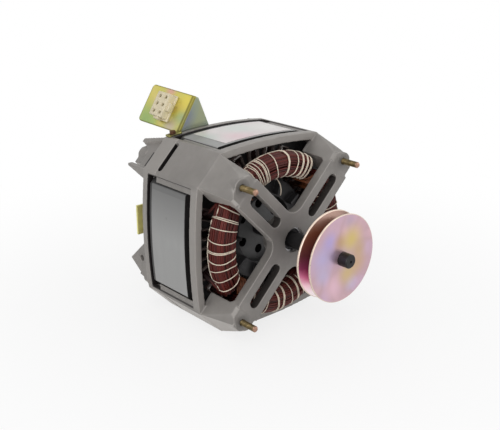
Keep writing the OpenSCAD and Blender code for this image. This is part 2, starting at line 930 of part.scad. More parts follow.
// Rounded plate in the bracket frame, between two heights over the sheet's outer face
module bracket_plate(w, l, r, z0, z1) {
    translate([0, 0, z0])
        linear_extrude(height = z1 - z0)
            difference() {
                square([w, l]);
                translate([0, l - r])
                    square([r, r]);
                translate([w - r, l - r])
                    square([r, r]);
            }
    for (x = [r, w - r])
        translate([x, l - r, z0])
            cylinder(r = r, h = z1 - z0);
}

plug_x = bracket_h / 2 + 0.2;
plug_y = bracket_len / 2 - 1.5;
plug_w = 3 * pin_pitch + 1;
plug_l = 2 * pin_pitch + 1;

module connector_bracket() {
    top_x = -bracket_x + bracket_h * cos(bracket_lean);
    top_z = bracket_z + bracket_h * sin(bracket_lean);
    foot_x = -bracket_x + gusset_foot;
    tab_l = 12;
    color(zinc_yellow) {
        difference() {
            union() {
                on_bracket()
                    translate([0, -0.8 * sheet_t, 0])
                        bracket_plate(bracket_h, bracket_len + 0.8 * sheet_t, 3, -sheet_t, 0);
                along(bracket_y - sheet_t, bracket_y)
                    difference() {
                        polygon([
                            [-bracket_x, bracket_z], [top_x, top_z], [top_x + 4, top_z - 2],
                            [foot_x, frame_half], [foot_x, bracket_z - 2], [-bracket_x, bracket_z - 2]
                        ]);
                        translate([0, frame_half - bow_r])
                            circle(r = bow_r + fit_gap, $fn = 96);
                    }
                along(rear_rim_front + 0.4, bracket_y)
                    intersection() {
                        translate([-bracket_x - tab_l + 1, bracket_z - 4])
                            square([tab_l, 8]);
                        difference() {
                            translate([0, frame_half - bow_r])
                                circle(r = bow_r + sheet_t, $fn = 96);
                            translate([0, frame_half - bow_r])
                                circle(r = bow_r + fit_gap, $fn = 96);
                        }
                    }
            }
            along(rear_rim_front, bracket_y + fit_gap)
                translate([0, frame_half - bow_r])
                    circle(r = bow_r + fit_gap, $fn = 96);
            on_bracket()
                translate([plug_x - plug_w / 2, plug_y - plug_l / 2, -sheet_t - cut])
                    cube([plug_w, plug_l, sheet_t + 2 * cut]);
            bracket_screw_bore();
        }
    }
}

screw_x = -bracket_x - 6.5;
screw_y = (rear_rim_front + bracket_y) / 2 - 0.6;
screw_z = frame_half - screw_x * screw_x / (2 * bow_r) + sheet_t;
screw_lean = asin(screw_x / bow_r);
screw_r = 1.2;
screw_head_r = 2.6;
screw_head_t = 2.2;
module on_screw() {
    translate([screw_x, screw_y, screw_z])
        rotate([0, screw_lean, 0])
            children();
}

module bracket_screw_bore() {
    on_screw()
        translate([0, 0, -3 * sheet_t])
            cylinder(r = screw_r + 2 * fit_gap, h = 6 * sheet_t);
}

module bracket_screw() {
    color([0.45, 0.28, 0.18])
        on_screw() {
            translate([0, 0, -0.9 * sheet_t])
                cylinder(r = screw_r, h = 1.1 * sheet_t);
            translate([0, 0, 3 * fit_gap])
                cylinder(r = screw_head_r, h = screw_head_t, $fn = 6);
        }
}

module connector_housing() {
    pin_r = 1.5;
    color(cream)
        on_bracket()
            translate([plug_x, plug_y, 0])
                difference() {
                    union() {
                        translate([-plug_w / 2 + fit_gap, -plug_l / 2 + fit_gap, -connector_in])
                            cube([plug_w - 2 * fit_gap, plug_l - 2 * fit_gap, connector_in + connector_out]);
                        translate([-plug_w / 2 - 1.2, -plug_l / 2 - 1.2, 0])
                            cube([plug_w + 2.4, plug_l + 2.4, 2]);
                    }
                    for (i = [-1 : 1], j = [-0.5, 0.5])
                        translate([i * pin_pitch, j * pin_pitch, -connector_in / 2])
                            cylinder(r = pin_r, h = connector_in + connector_out, $fn = 24);
                }
}

module connector_pins() {
    color(bronze)
        on_bracket()
            translate([plug_x, plug_y, 0])
                for (i = [-1 : 1], j = [-0.5, 0.5])
                    translate([i * pin_pitch, j * pin_pitch, -connector_in / 2])
                        cylinder(r = 0.9, h = connector_in / 2 + connector_out - 1.5, $fn = 24);
}

// Lead wires, held from the back of the connector down to the rear end of the windings
lead_rings = 9;
lead_pitch = 2.3 * lead_d;
lead_ends = [[-1, -0.5], [0, -0.5], [1, -0.5]];
bracket_up = [cos(bracket_lean), 0, sin(bracket_lean)];
bracket_face = [-sin(bracket_lean), 0, cos(bracket_lean)];
bracket_run = cos(bracket_open) * [0, 1, 0] + sin(bracket_open) * bracket_face;
bracket_out = cos(bracket_open) * bracket_face - sin(bracket_open) * [0, 1, 0];
function bracket_point(u, v, w) =
    [-bracket_x, bracket_y, bracket_z] + u * bracket_up + v * bracket_run + w * bracket_out;
function bezier(a, b, c, d, t) =
    pow(1 - t, 3) * a + 3 * pow(1 - t, 2) * t * b + 3 * (1 - t) * t * t * c + pow(t, 3) * d;
function lead_path(i) =
    let (e = lead_ends[i])
    let (u = plug_x + e[0] * pin_pitch)
    let (v = plug_y + e[1] * pin_pitch)
    let (a = bracket_point(u, v, -connector_in - face_gap))
    let (b = bracket_point(u, v, -2.75 * connector_in))
    let (d = [lead_pitch * (i - 1.2), stack_back + rear_bundle_h + strand_pitch / 2 + strand_r + lead_d,
        bundle_r + 1.4 * lead_d])
    let (c = d + [0, connector_in, 1.75 * connector_in])
    [for (k = [0 : lead_rings - 1]) bezier(a, b, c, d, k / (lead_rings - 1))];

module motor_leads() {
    color([0.85, 0.83, 0.78])
        for (i = [0 : len(lead_ends) - 1]) {
            p = lead_path(i);
            tube(p, [for (q = p) lead_d / 2], [for (q = p) [0, 1, 0]], 8);
        }
}

module blank_label() {
    middle = (stack_front + stack_back) / 2;
    color([0.90, 0.88, 0.87])
        along(middle - label_half_len, middle + label_half_len)
            intersection() {
                translate([label_left, 0])
                    square([label_right - label_left, 2 * frame_half]);
                difference() {
                    translate([0, frame_half - bow_r])
                        circle(r = bow_r - stack_inset + label_t, $fn = 96);
                    translate([0, frame_half - bow_r])
                        circle(r = bow_r - stack_inset + fit_gap, $fn = 96);
                }
            }
}

switch_back = rear_arm_front;
switch_front = switch_back - switch_t;
block_x0 = -40;
block_x1 = -24;
block_half = 9;
switch_out = frame_half - rim_w - 0.9;
switch_low = block_half + 1.5;
switch_high = block_half + 5;
switch_seat = 0.58 * hub_r;
switch_seat_half = 0.84 * hub_r;
module switch_bracket() {
    inner = hub_r + face_gap;
    color(zinc_yellow)
        along(switch_front, switch_back) {
            translate([-switch_out, -switch_low])
                square([switch_out - inner, switch_low + switch_high]);
            translate([-inner - switch_seat, -switch_seat_half])
                square([switch_seat, 2 * switch_seat_half]);
        }
}

lever_pin_r = 0.8;
ear_lo = 4.8;
ear_hi = 6.8;
module start_switch() {
    color([0.22, 0.13, 0.09])
        difference() {
            union() {
                along(lever_y + lever_t + 1.2, switch_front)
                    translate([block_x0, -block_half])
                        square([block_x1 - block_x0, 2 * block_half]);
                for (s = [-1, 1])
                    translate([lever_pivot_x - 2, lever_y - 1.4, s > 0 ? ear_lo : -ear_hi])
                        cube([4, lever_t + 3, ear_hi - ear_lo]);
            }
            translate([lever_pivot_x, lever_y + lever_t / 2, -ear_hi - cut])
                cylinder(r = lever_pin_r + run_gap, h = 2 * (ear_hi + cut));
        }
}

module switch_lever() {
    tip_x = -collar_flange_r + 3;
    color([0.75, 0.75, 0.76]) {
        along(lever_y, lever_y + lever_t)
            translate([lever_pivot_x - 1.6, -4])
                square([tip_x - lever_pivot_x + 1.6, 8]);
        translate([lever_pivot_x, lever_y + lever_t / 2, -ear_hi])
            cylinder(r = lever_pin_r, h = 2 * ear_hi);
    }
}

protector_r = block_half;
protector_top_r = 0.72 * protector_r;
protector_t = 0.55 * protector_r;
protector_x = -switch_out + 2 * protector_r - 1;
protector_z = (switch_high - switch_low) / 2;
module thermal_protector() {
    color([0.10, 0.10, 0.11]) {
        along(switch_back, switch_back + protector_t)
            translate([protector_x, protector_z])
                circle(r = protector_r);
        along(switch_back + protector_t, switch_back + 1.5 * protector_t)
            translate([protector_x, protector_z])
                circle(r = protector_top_r);
    }
}

module shaft() {
    chamfer = 0.8;
    shoulder = pulley_back + sleeve_len;
    color(dark_grey)
        difference() {
            turned()
                polygon([
                    [0, nose_tip], [nose_r - chamfer, nose_tip], [nose_r, nose_tip + chamfer],
                    [nose_r, shoulder], [shaft_r, shoulder], [shaft_r, shaft_back - chamfer],
                    [shaft_r - chamfer, shaft_back], [0, shaft_back]
                ]);
            along(nose_tip - cut, nose_tip + 2)
                circle(r = 1);
        }
}

module rotor_core() {
    color(dark_grey)
        along(stack_front, stack_back)
            difference() {
                circle(r = rotor_r);
                circle(r = shaft_r + fit_gap);
                for (i = [0 : 5])
                    rotate(30 + 60 * i)
                        translate([vent_circle, 0])
                            circle(d = vent_d);
            }
}

module end_ring(y0, y1, b0, b1) {
    ring_r = rotor_r - 0.8;
    color([0.42, 0.42, 0.43]) {
        along(y0, y1)
            difference() {
                circle(r = ring_r);
                circle(r = ring_in);
            }
        along(b0, b1)
            for (i = [0 : blades - 1])
                rotate(360 * i / blades)
                    translate([ring_in + 1.5, -blade_t / 2])
                        square([ring_r - ring_in - 3, blade_t]);
    }
}

module front_end_ring() {
    end_ring(stack_front - ring_t, stack_front, stack_front - ring_t - front_blade, stack_front - ring_t);
}

module rear_end_ring() {
    end_ring(stack_back, stack_back + ring_t, stack_back + ring_t, stack_back + ring_t + rear_blade);
}

// The two pressed halves meet in the middle of the belt groove
pulley_mid = -pulley_front + pulley_w / 2;
module pulley_front_half() {
    r = pulley_d / 2;
    color(zinc_lilac)
        turned()
            polygon([
                [nose_r + fit_gap, -pulley_front], [r, -pulley_front], [r, -pulley_front + pulley_rim_t],
                [groove_d / 2, pulley_mid], [nose_r + fit_gap, pulley_mid]
            ]);
}

module pulley_rear_half() {
    r = pulley_d / 2;
    color(zinc_lilac)
        turned()
            polygon([
                [nose_r + fit_gap, pulley_mid], [groove_d / 2, pulley_mid], [r, pulley_back - pulley_rim_t],
                [r, pulley_back], [r - pulley_web, pulley_back],
                [groove_d / 2 - 1, pulley_mid + pulley_web], [nose_r + fit_gap, pulley_mid + pulley_web]
            ]);
}

module pulley_hub() {
    color(steel_grey)
        along(pulley_mid + pulley_web, pulley_back + sleeve_len)
            difference() {
                circle(r = sleeve_r);
                circle(r = nose_r + fit_gap);
            }
}

// Governor: base plate on the shaft, two weights on pivots and a collar that they draw in
ear_t = 2;
ear_half = 4.4;
module governor_base() {
    color(steel_grey) {
        along(governor_y, governor_y + governor_base_t)
            difference() {
                union() {
                    circle(r = pivot_x - 5);
                    square([2 * pivot_x + 5, 2 * ear_half + 2 * ear_t], center = true);
                }
                circle(r = shaft_r + fit_gap);
                for (s = [-1, 1])
                    translate([s * (pivot_x + 1.5), 0])
                        square([11, 2 * ear_half], center = true);
            }
        for (sx = [-1, 1], sz = [-1, 1])
            translate([sx * pivot_x - 2.4, governor_y, sz * (ear_half + ear_t / 2) - ear_t / 2])
                cube([4.8, pivot_y - governor_y + 2.4, ear_t]);
        for (s = [-1, 1])
            translate([s * pivot_x, pivot_y, -ear_half - ear_t])
                cylinder(r = pivot_pin_r, h = 2 * (ear_half + ear_t));
    }
}

module governor_collar() {
    color([0.75, 0.70, 0.60])
        turned()
            polygon([
                [shaft_r + run_gap, collar_y - collar_lip], [11, collar_y - collar_lip], [11, collar_y],
                [8.6, collar_y],
                [8.6, collar_y + collar_len], [collar_flange_r, collar_y + collar_len],
                [collar_flange_r, collar_y + collar_len + collar_flange_t],
                [shaft_r + run_gap, collar_y + collar_len + collar_flange_t]
            ]);
}

module governor_weight(side) {
    half = ear_half - face_gap;
    mirror([side < 0 ? 1 : 0, 0, 0])
        color(steel_grey)
            difference() {
                union() {
                    translate([pivot_x, pivot_y, -half])
                        cylinder(r = 2.6, h = 2 * half);
                    translate([pivot_x - 1.4, pivot_y - weight_reach, -half])
                        cube([2.8, weight_reach, 2 * half]);
                    translate([pivot_x - 3, pivot_y - weight_reach, -half])
                        cube([8, weight_reach - 3.5, 2 * half]);
                    translate([9.6, pivot_y - 0.8, -half / 2])
                        cube([pivot_x - 9.6, 1.6, half]);
                }
                translate([pivot_x, pivot_y, -half - cut])
                    cylinder(r = pivot_pin_r + run_gap, h = 2 * half + 2 * cut);
            }
}

module governor_weight_right() {
    governor_weight(1);
}

module governor_weight_left() {
    governor_weight(-1);
}

module main_winding_right() {
    main_winding(0);
}

module main_winding_top() {
    main_winding(90);
}

module main_winding_left() {
    main_winding(180);
}

module main_winding_bottom() {
    main_winding(270);
}

module start_winding_1() {
    start_winding(45);
}

module start_winding_2() {
    start_winding(135);
}

module start_winding_3() {
    start_winding(225);
}

module start_winding_4() {
    start_winding(315);
}

module lacing_cord_right() {
    lacing_cord(0);
}

module lacing_cord_top() {
    lacing_cord(90);
}

module lacing_cord_left() {
    lacing_cord(180);
}

module lacing_cord_bottom() {
    lacing_cord(270);
}

front_end_shield();
rear_end_shield();
stator_stack();
slot_liners();
main_winding_right();
main_winding_top();
main_winding_left();
main_winding_bottom();
start_winding_1();
start_winding_2();
start_winding_3();
start_winding_4();
lacing_cord_right();
lacing_cord_top();
lacing_cord_left();
lacing_cord_bottom();
through_bolts();
front_bearing();
rear_bearing();
front_oil_felt();
rear_oil_felt();
front_retainer();
rear_retainer();
front_seal();
front_snap_ring();
connector_bracket();
connector_housing();
connector_pins();
bracket_screw();
motor_leads();
blank_label();
switch_bracket();
start_switch();
thermal_protector();
switch_lever();
shaft();
rotor_core();
front_end_ring();
rear_end_ring();
pulley_front_half();
pulley_rear_half();
pulley_hub();
governor_base();
governor_collar();
governor_weight_right();
governor_weight_left();
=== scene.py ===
import math
import random

import bmesh
import bpy
import numpy as np
from mathutils import Matrix, Vector, geometry


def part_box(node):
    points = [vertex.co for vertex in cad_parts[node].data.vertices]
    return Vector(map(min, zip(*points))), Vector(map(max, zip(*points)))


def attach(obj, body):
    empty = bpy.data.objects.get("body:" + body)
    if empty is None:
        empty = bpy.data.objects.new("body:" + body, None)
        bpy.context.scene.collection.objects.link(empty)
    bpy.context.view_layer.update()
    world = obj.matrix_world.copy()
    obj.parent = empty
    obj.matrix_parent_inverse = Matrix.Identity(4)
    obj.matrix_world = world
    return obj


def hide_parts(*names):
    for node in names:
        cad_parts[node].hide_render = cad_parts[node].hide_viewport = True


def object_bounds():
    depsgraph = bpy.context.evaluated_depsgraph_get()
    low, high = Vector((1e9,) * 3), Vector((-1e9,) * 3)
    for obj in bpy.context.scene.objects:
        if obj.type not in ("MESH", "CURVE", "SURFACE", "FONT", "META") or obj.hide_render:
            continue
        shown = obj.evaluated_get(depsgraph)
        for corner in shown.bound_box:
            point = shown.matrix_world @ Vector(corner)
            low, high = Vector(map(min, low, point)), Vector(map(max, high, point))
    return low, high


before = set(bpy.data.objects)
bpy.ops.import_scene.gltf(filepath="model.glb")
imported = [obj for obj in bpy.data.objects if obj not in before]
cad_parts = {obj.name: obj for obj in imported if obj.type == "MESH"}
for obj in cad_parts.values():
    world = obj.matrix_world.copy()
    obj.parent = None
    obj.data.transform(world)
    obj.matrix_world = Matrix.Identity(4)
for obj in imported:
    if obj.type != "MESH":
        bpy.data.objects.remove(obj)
CAD_BOX = [list(corner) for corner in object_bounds()]

bl_info = {
    "name": "Washing machine motor",
    "version": (1, 0, 0),
    "blender": (4, 5, 0),
    "location": "3D View > Sidebar > Motor",
    "description": "Dresses the packed motor with castings, windings, plating and a studio stage",
    "category": "Object",
}

MM = 0.001


def mm(*values):
    """Millimetres as metres."""
    return tuple(v * MM for v in values)


# The angle about the shaft of each coil's middle
POLES = {"right": 0, "top": 90, "left": 180, "bottom": 270}
START_POLES = {f"start_winding_{i + 1}": 45 + 90 * i for i in range(4)}

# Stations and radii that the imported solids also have, in metres
STACK_FRONT, STACK_BACK = (corner.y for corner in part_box("stator_stack"))
STUD_FRONT, HEAD_BACK = (corner.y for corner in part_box("through_bolts"))
CORE_FRONT, CORE_BACK = (corner.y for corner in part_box("rotor_core"))
PULLEY_FRONT, GROOVE_MID = (corner.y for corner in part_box("pulley_front_half"))
PULLEY_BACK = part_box("pulley_rear_half")[1].y
BOLT_PLACE = 52 * MM
HEAD_HEIGHT = 3.6 * MM
SLOT_COUNT = 24

# Places on the castings: rims painted paler as light, the parting line, the notch, slit, seam and slot walls
# painted dark as shade, and the reach of the painted shade round the hub
FRONT_RIM = mm(27, 34.3)
REAR_RIM = mm(87.2, 93.3)
CORNER_FLAT = 85.07 * MM
PARTING = 77.8 * MM
NOTCH = mm(73.2, 78)
NOTCH_HALF = 18.4 * MM
SLIT = (REAR_RIM[1] + 3 * MM, REAR_RIM[1] + 5 * MM)
SLIT_RUN = mm(-17, 1)
ARM_SLOT = mm(22.2, 60.8)
ARM_SLOT_HALF = 6.9 * MM
ARM_SLOT_DEPTH = mm(0.9, 9)
LIP_SEAM = mm(46.1, 47)
HUB_SHADE = 34 * MM

# Places on the stack: outer faces, the ledge at the top and the line beside the lips, both painted as shade,
# and one dark spot
OUTER_FACE = mm(66, 67)
LEDGE = mm(36.5, 60)
LIP_LINE = mm(40.6, 60)
DARK_SPOT = mm(-73.4, 63, 17.5)
LABEL_TOP = 74 * MM

# The connector's sheet, its own frame (u, v, w) and what stands on it
SHEET = mm(32, 45)
SHEET_HALF = 1.5 * MM
BRACKET_FRAME = (Matrix.Translation(mm(-38.5, 93.3, 72.03))
                 @ Matrix.Rotation(math.radians(-57.8), 4, "Y") @ Matrix.Rotation(math.radians(9), 4, "X"))
GUSSET_MIDDLE = mm(-34, 88, 84)
SCREW_SPOT = (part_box("bracket_screw")[0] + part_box("bracket_screw")[1]) / 2
PLUG_U, PLUG_V = mm(16.2, 21)
PIN_PITCH = 6.35 * MM
LEADS = {"white": (214, 210, 200), "yellow": (198, 164, 50), "red": (150, 42, 36),
         "blue": (54, 70, 120), "black": (34, 33, 34), "orange": (190, 96, 40)}


def srgb(*display):
    """A display colour from 0 to 255 as the linear values that Blender's sockets take."""
    shares = (v / 255 for v in display)
    return tuple(c / 12.92 if c <= 0.04045 else ((c + 0.055) / 1.055) ** 2.4 for c in shares)


def length(name, description, default):
    return bpy.props.FloatProperty(
        name=name, description=description, default=default * MM, unit="LENGTH", precision=5)


def colour(name, description, *display):
    return bpy.props.FloatVectorProperty(
        name=name, description=description, default=srgb(*display), subtype="COLOR", min=0, max=1)


class MotorSizes(bpy.types.PropertyGroup):
    """Sizes of the dressed pieces"""
    cast_round: length("Casting rounding", "Voxel that rounds the edges of the castings", 0.5)
    sheet_round: length("Sheet rounding", "Voxel that rounds the edges of the bracket", 0.4)
    wire_radius: length("Wire radius", "Radius of one enamelled wire", 0.62)
    bundle_radius: length("Bundle radius", "Middle of the main bundles from the shaft axis", 55.0)
    bundle_width: length("Bundle half width", "Half of a main bundle across the radius", 9.0)
    bundle_depth: length("Bundle half depth", "Half of a main bundle along the shaft", 7.7)
    front_rise: length("Front rise", "Middle of the front bundle before the stack", 20.5)
    rear_rise: length("Rear rise", "Middle of the rear bundle behind the stack", 15.9)
    start_wire: length("Start wire radius", "Radius of one start wire", 0.55)
    twine: length("Twine radius", "Radius of the lacing twine", 0.4)
    bead: length("Liner bead radius", "Radius of the rolled edge of a slot liner", 0.85)
    thread_pitch: length("Thread pitch", "Pitch of the stud threads", 1.0)
    lead: length("Lead radius", "Radius of a lead wire", 1.1)
    lamination: length("Lamination pitch", "Thickness of one lamination of the stack", 0.65)


class MotorColours(bpy.types.PropertyGroup):
    """Colours of the dressed pieces"""
    cast: colour("Casting", "Cast aluminium of the end shields", 136, 132, 128)
    steel: colour("Lamination", "Steel of the stack", 156, 156, 155)
    enamel: colour("Enamel", "Varnished main wire", 82, 28, 22)
    start_enamel: colour("Start enamel", "Varnished start wire", 108, 62, 38)
    twine: colour("Twine", "Lacing twine", 226, 212, 192)
    liner: colour("Liner", "Slot liner film", 52, 36, 32)
    yellow_zinc: colour("Yellow zinc", "Yellow plating", 206, 196, 104)
    lilac_zinc: colour("Lilac zinc", "Pink plating of the pulley", 196, 163, 170)
    cream: colour("Cream nylon", "Connector and collar", 222, 210, 180)
    label: colour("Label", "Blank label foil", 224, 217, 216)
    dark_steel: colour("Dark steel", "Shaft and rotor", 36, 35, 36)
    floor: colour("Floor", "Floor of the stage", 246, 246, 246)


class Paint:
    """The nodes of one finish and its base colour. A mask is a value from 0 to 1."""

    def __init__(self, tree):
        self.tree = tree
        self.shader = tree.nodes.get("Principled BSDF")
        self.base = None

    def add(self, kind, inputs=None, **settings):
        node = self.tree.nodes.new(kind)
        for key, value in settings.items():
            setattr(node, key, value)
        for key, value in (inputs or {}).items():
            self.plug(value, node.inputs[key])
        return node

    def plug(self, value, socket):
        if isinstance(value, bpy.types.NodeSocket):
            self.tree.links.new(value, socket)
        elif socket.type == "RGBA":
            socket.default_value = (*tuple(value)[:3], 1)
        else:
            socket.default_value = value

    def give(self, metallic, rough, normal=None, more=None):
        """Sets the shader: the base colour, metal, roughness, normal and more of its sockets."""
        values = {"Base Color": self.base, "Metallic": metallic, "Roughness": rough, **(more or {})}
        if normal is not None:
            values["Normal"] = normal
        for key, value in values.items():
            self.plug(value, self.shader.inputs[key])

    def place(self, stretch=None):
        """Coordinates fixed to the piece, in metres, stretched if asked."""
        coords = self.add("ShaderNodeTexCoord").outputs["Object"]
        if stretch is None:
            return coords
        return self.add("ShaderNodeMapping", {"Vector": coords, "Scale": stretch}).outputs["Vector"]

    def split(self, vector):
        return self.add("ShaderNodeSeparateXYZ", {"Vector": vector}).outputs

    def axes(self):
        """The three coordinates of a point of the piece, each on its own."""
        return self.split(self.place())

    def noise(self, scale, detail=5.0, stretch=None, warp=0.0):
        return self.add("ShaderNodeTexNoise", {
            "Vector": self.place(stretch), "Scale": scale, "Detail": detail, "Distortion": warp}).outputs[0]

    def ramp(self, factor, *stops):
        node = self.add("ShaderNodeValToRGB", {"Fac": factor})
        band = node.color_ramp
        while len(band.elements) < len(stops):
            band.elements.new(0.5)
        for element, (spot, tint) in zip(band.elements, stops):
            element.position = spot
            element.color = (*tuple(tint)[:3], 1)
        return node.outputs["Color"]

    def spread(self, value, low, high, new_low=0, new_high=1, ease="LINEAR"):
        return self.add("ShaderNodeMapRange", {
            "Value": value, "From Min": low, "From Max": high, "To Min": new_low, "To Max": new_high},
            interpolation_type=ease).outputs["Result"]

    def mixed(self, factor, first, second):
        return self.add("ShaderNodeMix", {0: factor, 6: first, 7: second}, data_type="RGBA").outputs[2]

    def maths(self, operation, first, second=0.0):
        return self.add("ShaderNodeMath", {0: first, 1: second}, operation=operation).outputs[0]

    def both(self, mask, *others):
        for other in others:
            mask = self.maths("MULTIPLY", mask, other)
        return mask

    def either(self, mask, *others):
        for other in others:
            mask = self.maths("MAXIMUM", mask, other)
        return mask

    def within(self, value, low, high, soft):
        """1 where a value lies from low to high, fading to 0 over soft on both sides."""
        return self.both(self.spread(value, low - soft, low), self.spread(value, high, high + soft, 1, 0))

    def gap(self, first, second):
        return self.add("ShaderNodeVectorMath", {0: first, 1: second}, operation="DISTANCE").outputs["Value"]

    def near(self, spot, reach):
        """1 at a spot of the piece, fading to 0 at reach."""
        return self.spread(self.gap(self.place(), spot), reach, 0.0, ease="SMOOTHSTEP")

    def over(self, mask, tint):
        """Lays a colour over the base colour where a mask is 1."""
        self.base = self.mixed(mask, self.base, tint)

    def clouds(self, spots):
        """Lays patches of other colours: each a spot, its reach, its colour and its share."""
        for spot, reach, tint, share in spots:
            self.over(self.spread(self.near(spot, reach * MM), 0, 1, 0, share), srgb(*tint))

    def soft_edge(self, radius):
        """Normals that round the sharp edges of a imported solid."""
        return self.add("ShaderNodeBevel", {"Radius": radius}, samples=6).outputs["Normal"]

    def bumped(self, height, depth, strength, under=None):
        inputs = {"Height": height, "Distance": depth, "Strength": strength}
        if under is not None:
            inputs["Normal"] = under
        return self.add("ShaderNodeBump", inputs).outputs["Normal"]

    def seen_rays(self):
        """1 for the rays that show a surface: camera, mirror and glass rays."""
        rays = self.add("ShaderNodeLightPath").outputs
        return self.either(rays["Is Camera Ray"], rays["Is Glossy Ray"], rays["Is Transmission Ray"])


def shade(tint, factor):
    return tuple(min(1.0, c * factor) for c in tuple(tint)[:3])


def finish(name, make, *given):
    """The finish of that name, made once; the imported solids' plain materials keep their own names."""
    name = name + "_finish"
    material = bpy.data.materials.get(name)
    if material is None:
        material = bpy.data.materials.new(name)
        material.use_nodes = True
        make(Paint(material.node_tree), *given)
    return material


# Plain finishes: colour, light and dark factors, patch scale, metal, roughness from and to, grain scale,
# grain depth and edge rounding in millimetres, coat. None stands for a colour that a user may change.
PLAIN = {
    # Switch bracket: the yellow plating painted lighter, a painted light, where it sits in shade behind the
    # rear rim
    "pale_yellow_zinc": ((226, 220, 140), 1.08, 0.85, 60, 0.4, (0.3, 0.45), 900, 0.02, 0.25, 0),
    "rim_zinc": ((226, 206, 190), 1.06, 0.85, 90, 0.7, (0.25, 0.38), 900, 0.02, 0, 0),
    "dark_steel": (None, 1.2, 0.7, 90, 0.6, (0.34, 0.55), 900, 0.03, 0.4, 0),
    "bright_steel": ((176, 176, 178), 1.1, 0.8, 120, 0.85, (0.22, 0.4), 1100, 0.02, 0.25, 0),
    # End rings: aluminium painted dark grey as shade inside the stator
    "ring_aluminium": ((58, 57, 58), 1.15, 0.7, 70, 0.55, (0.32, 0.5), 600, 0.06, 0.5, 0),
    "bronze": ((172, 126, 66), 1.15, 0.75, 160, 0.85, (0.28, 0.45), 1200, 0.03, 0.2, 0),
    "black_rubber": ((30, 30, 31), 1.4, 0.7, 110, 0, (0.5, 0.75), 900, 0.05, 0.3, 0),
    "phenolic": ((70, 44, 32), 1.25, 0.7, 150, 0, (0.3, 0.5), 700, 0.03, 0.4, 0),
    "black_phenolic": ((36, 36, 38), 1.3, 0.7, 150, 0, (0.3, 0.48), 700, 0.03, 0.4, 0),
    "felt": ((122, 108, 84), 1.2, 0.65, 400, 0, (0.85, 1.0), 2200, 0.2, 0, 0),
    "cream_nylon": (None, 1.06, 0.9, 120, 0, (0.36, 0.5), 700, 0.02, 0.3, 0),
    # Liner beads: the film's rolled edge, painted lighter than the film as a highlight, under a glossy coat
    "liner_bead": ((92, 82, 78), 1.4, 0.5, 260, 0, (0.16, 0.3), 600, 0.05, 0, 0.6),
    "liner_film": (None, 1.5, 0.6, 260, 0, (0.22, 0.42), 600, 0.06, 0.2, 0.3),
    "pin_brass": ((122, 116, 76), 1.1, 0.8, 160, 0.6, (0.3, 0.45), 1200, 0.02, 0.1, 0),
    # The screw: dark brown, partly its own colour and partly painted shade
    "brown_screw": ((88, 58, 40), 1.2, 0.6, 300, 0.7, (0.3, 0.5), 1500, 0.03, 0.2, 0),
}
PLAIN.update({"lead_" + name: (tint, 1.1, 0.85, 90, 0, (0.35, 0.5), 900, 0.02, 0, 0)
              for name, tint in LEADS.items()})


def mottled(paint, name, tint):
    """Patches of tone, a fine grain and softened edges."""
    own, light, dark, scale, metallic, rough, grain, depth, edge, coat = PLAIN[name]
    if tint is None:
        tint = srgb(*own)
    paint.base = paint.ramp(paint.noise(scale, 6.0), (0.3, shade(tint, dark)), (0.7, shade(tint, light)))
    under = paint.soft_edge(edge * MM) if edge else None
    paint.give(metallic, paint.spread(paint.noise(scale * 6), 0.25, 0.75, *rough),
               paint.bumped(paint.noise(grain, 3.0), depth * MM, 0.6, under), {"Coat Weight": coat})


def plain(name, tint=None):
    return finish(name, mottled, name, tint)


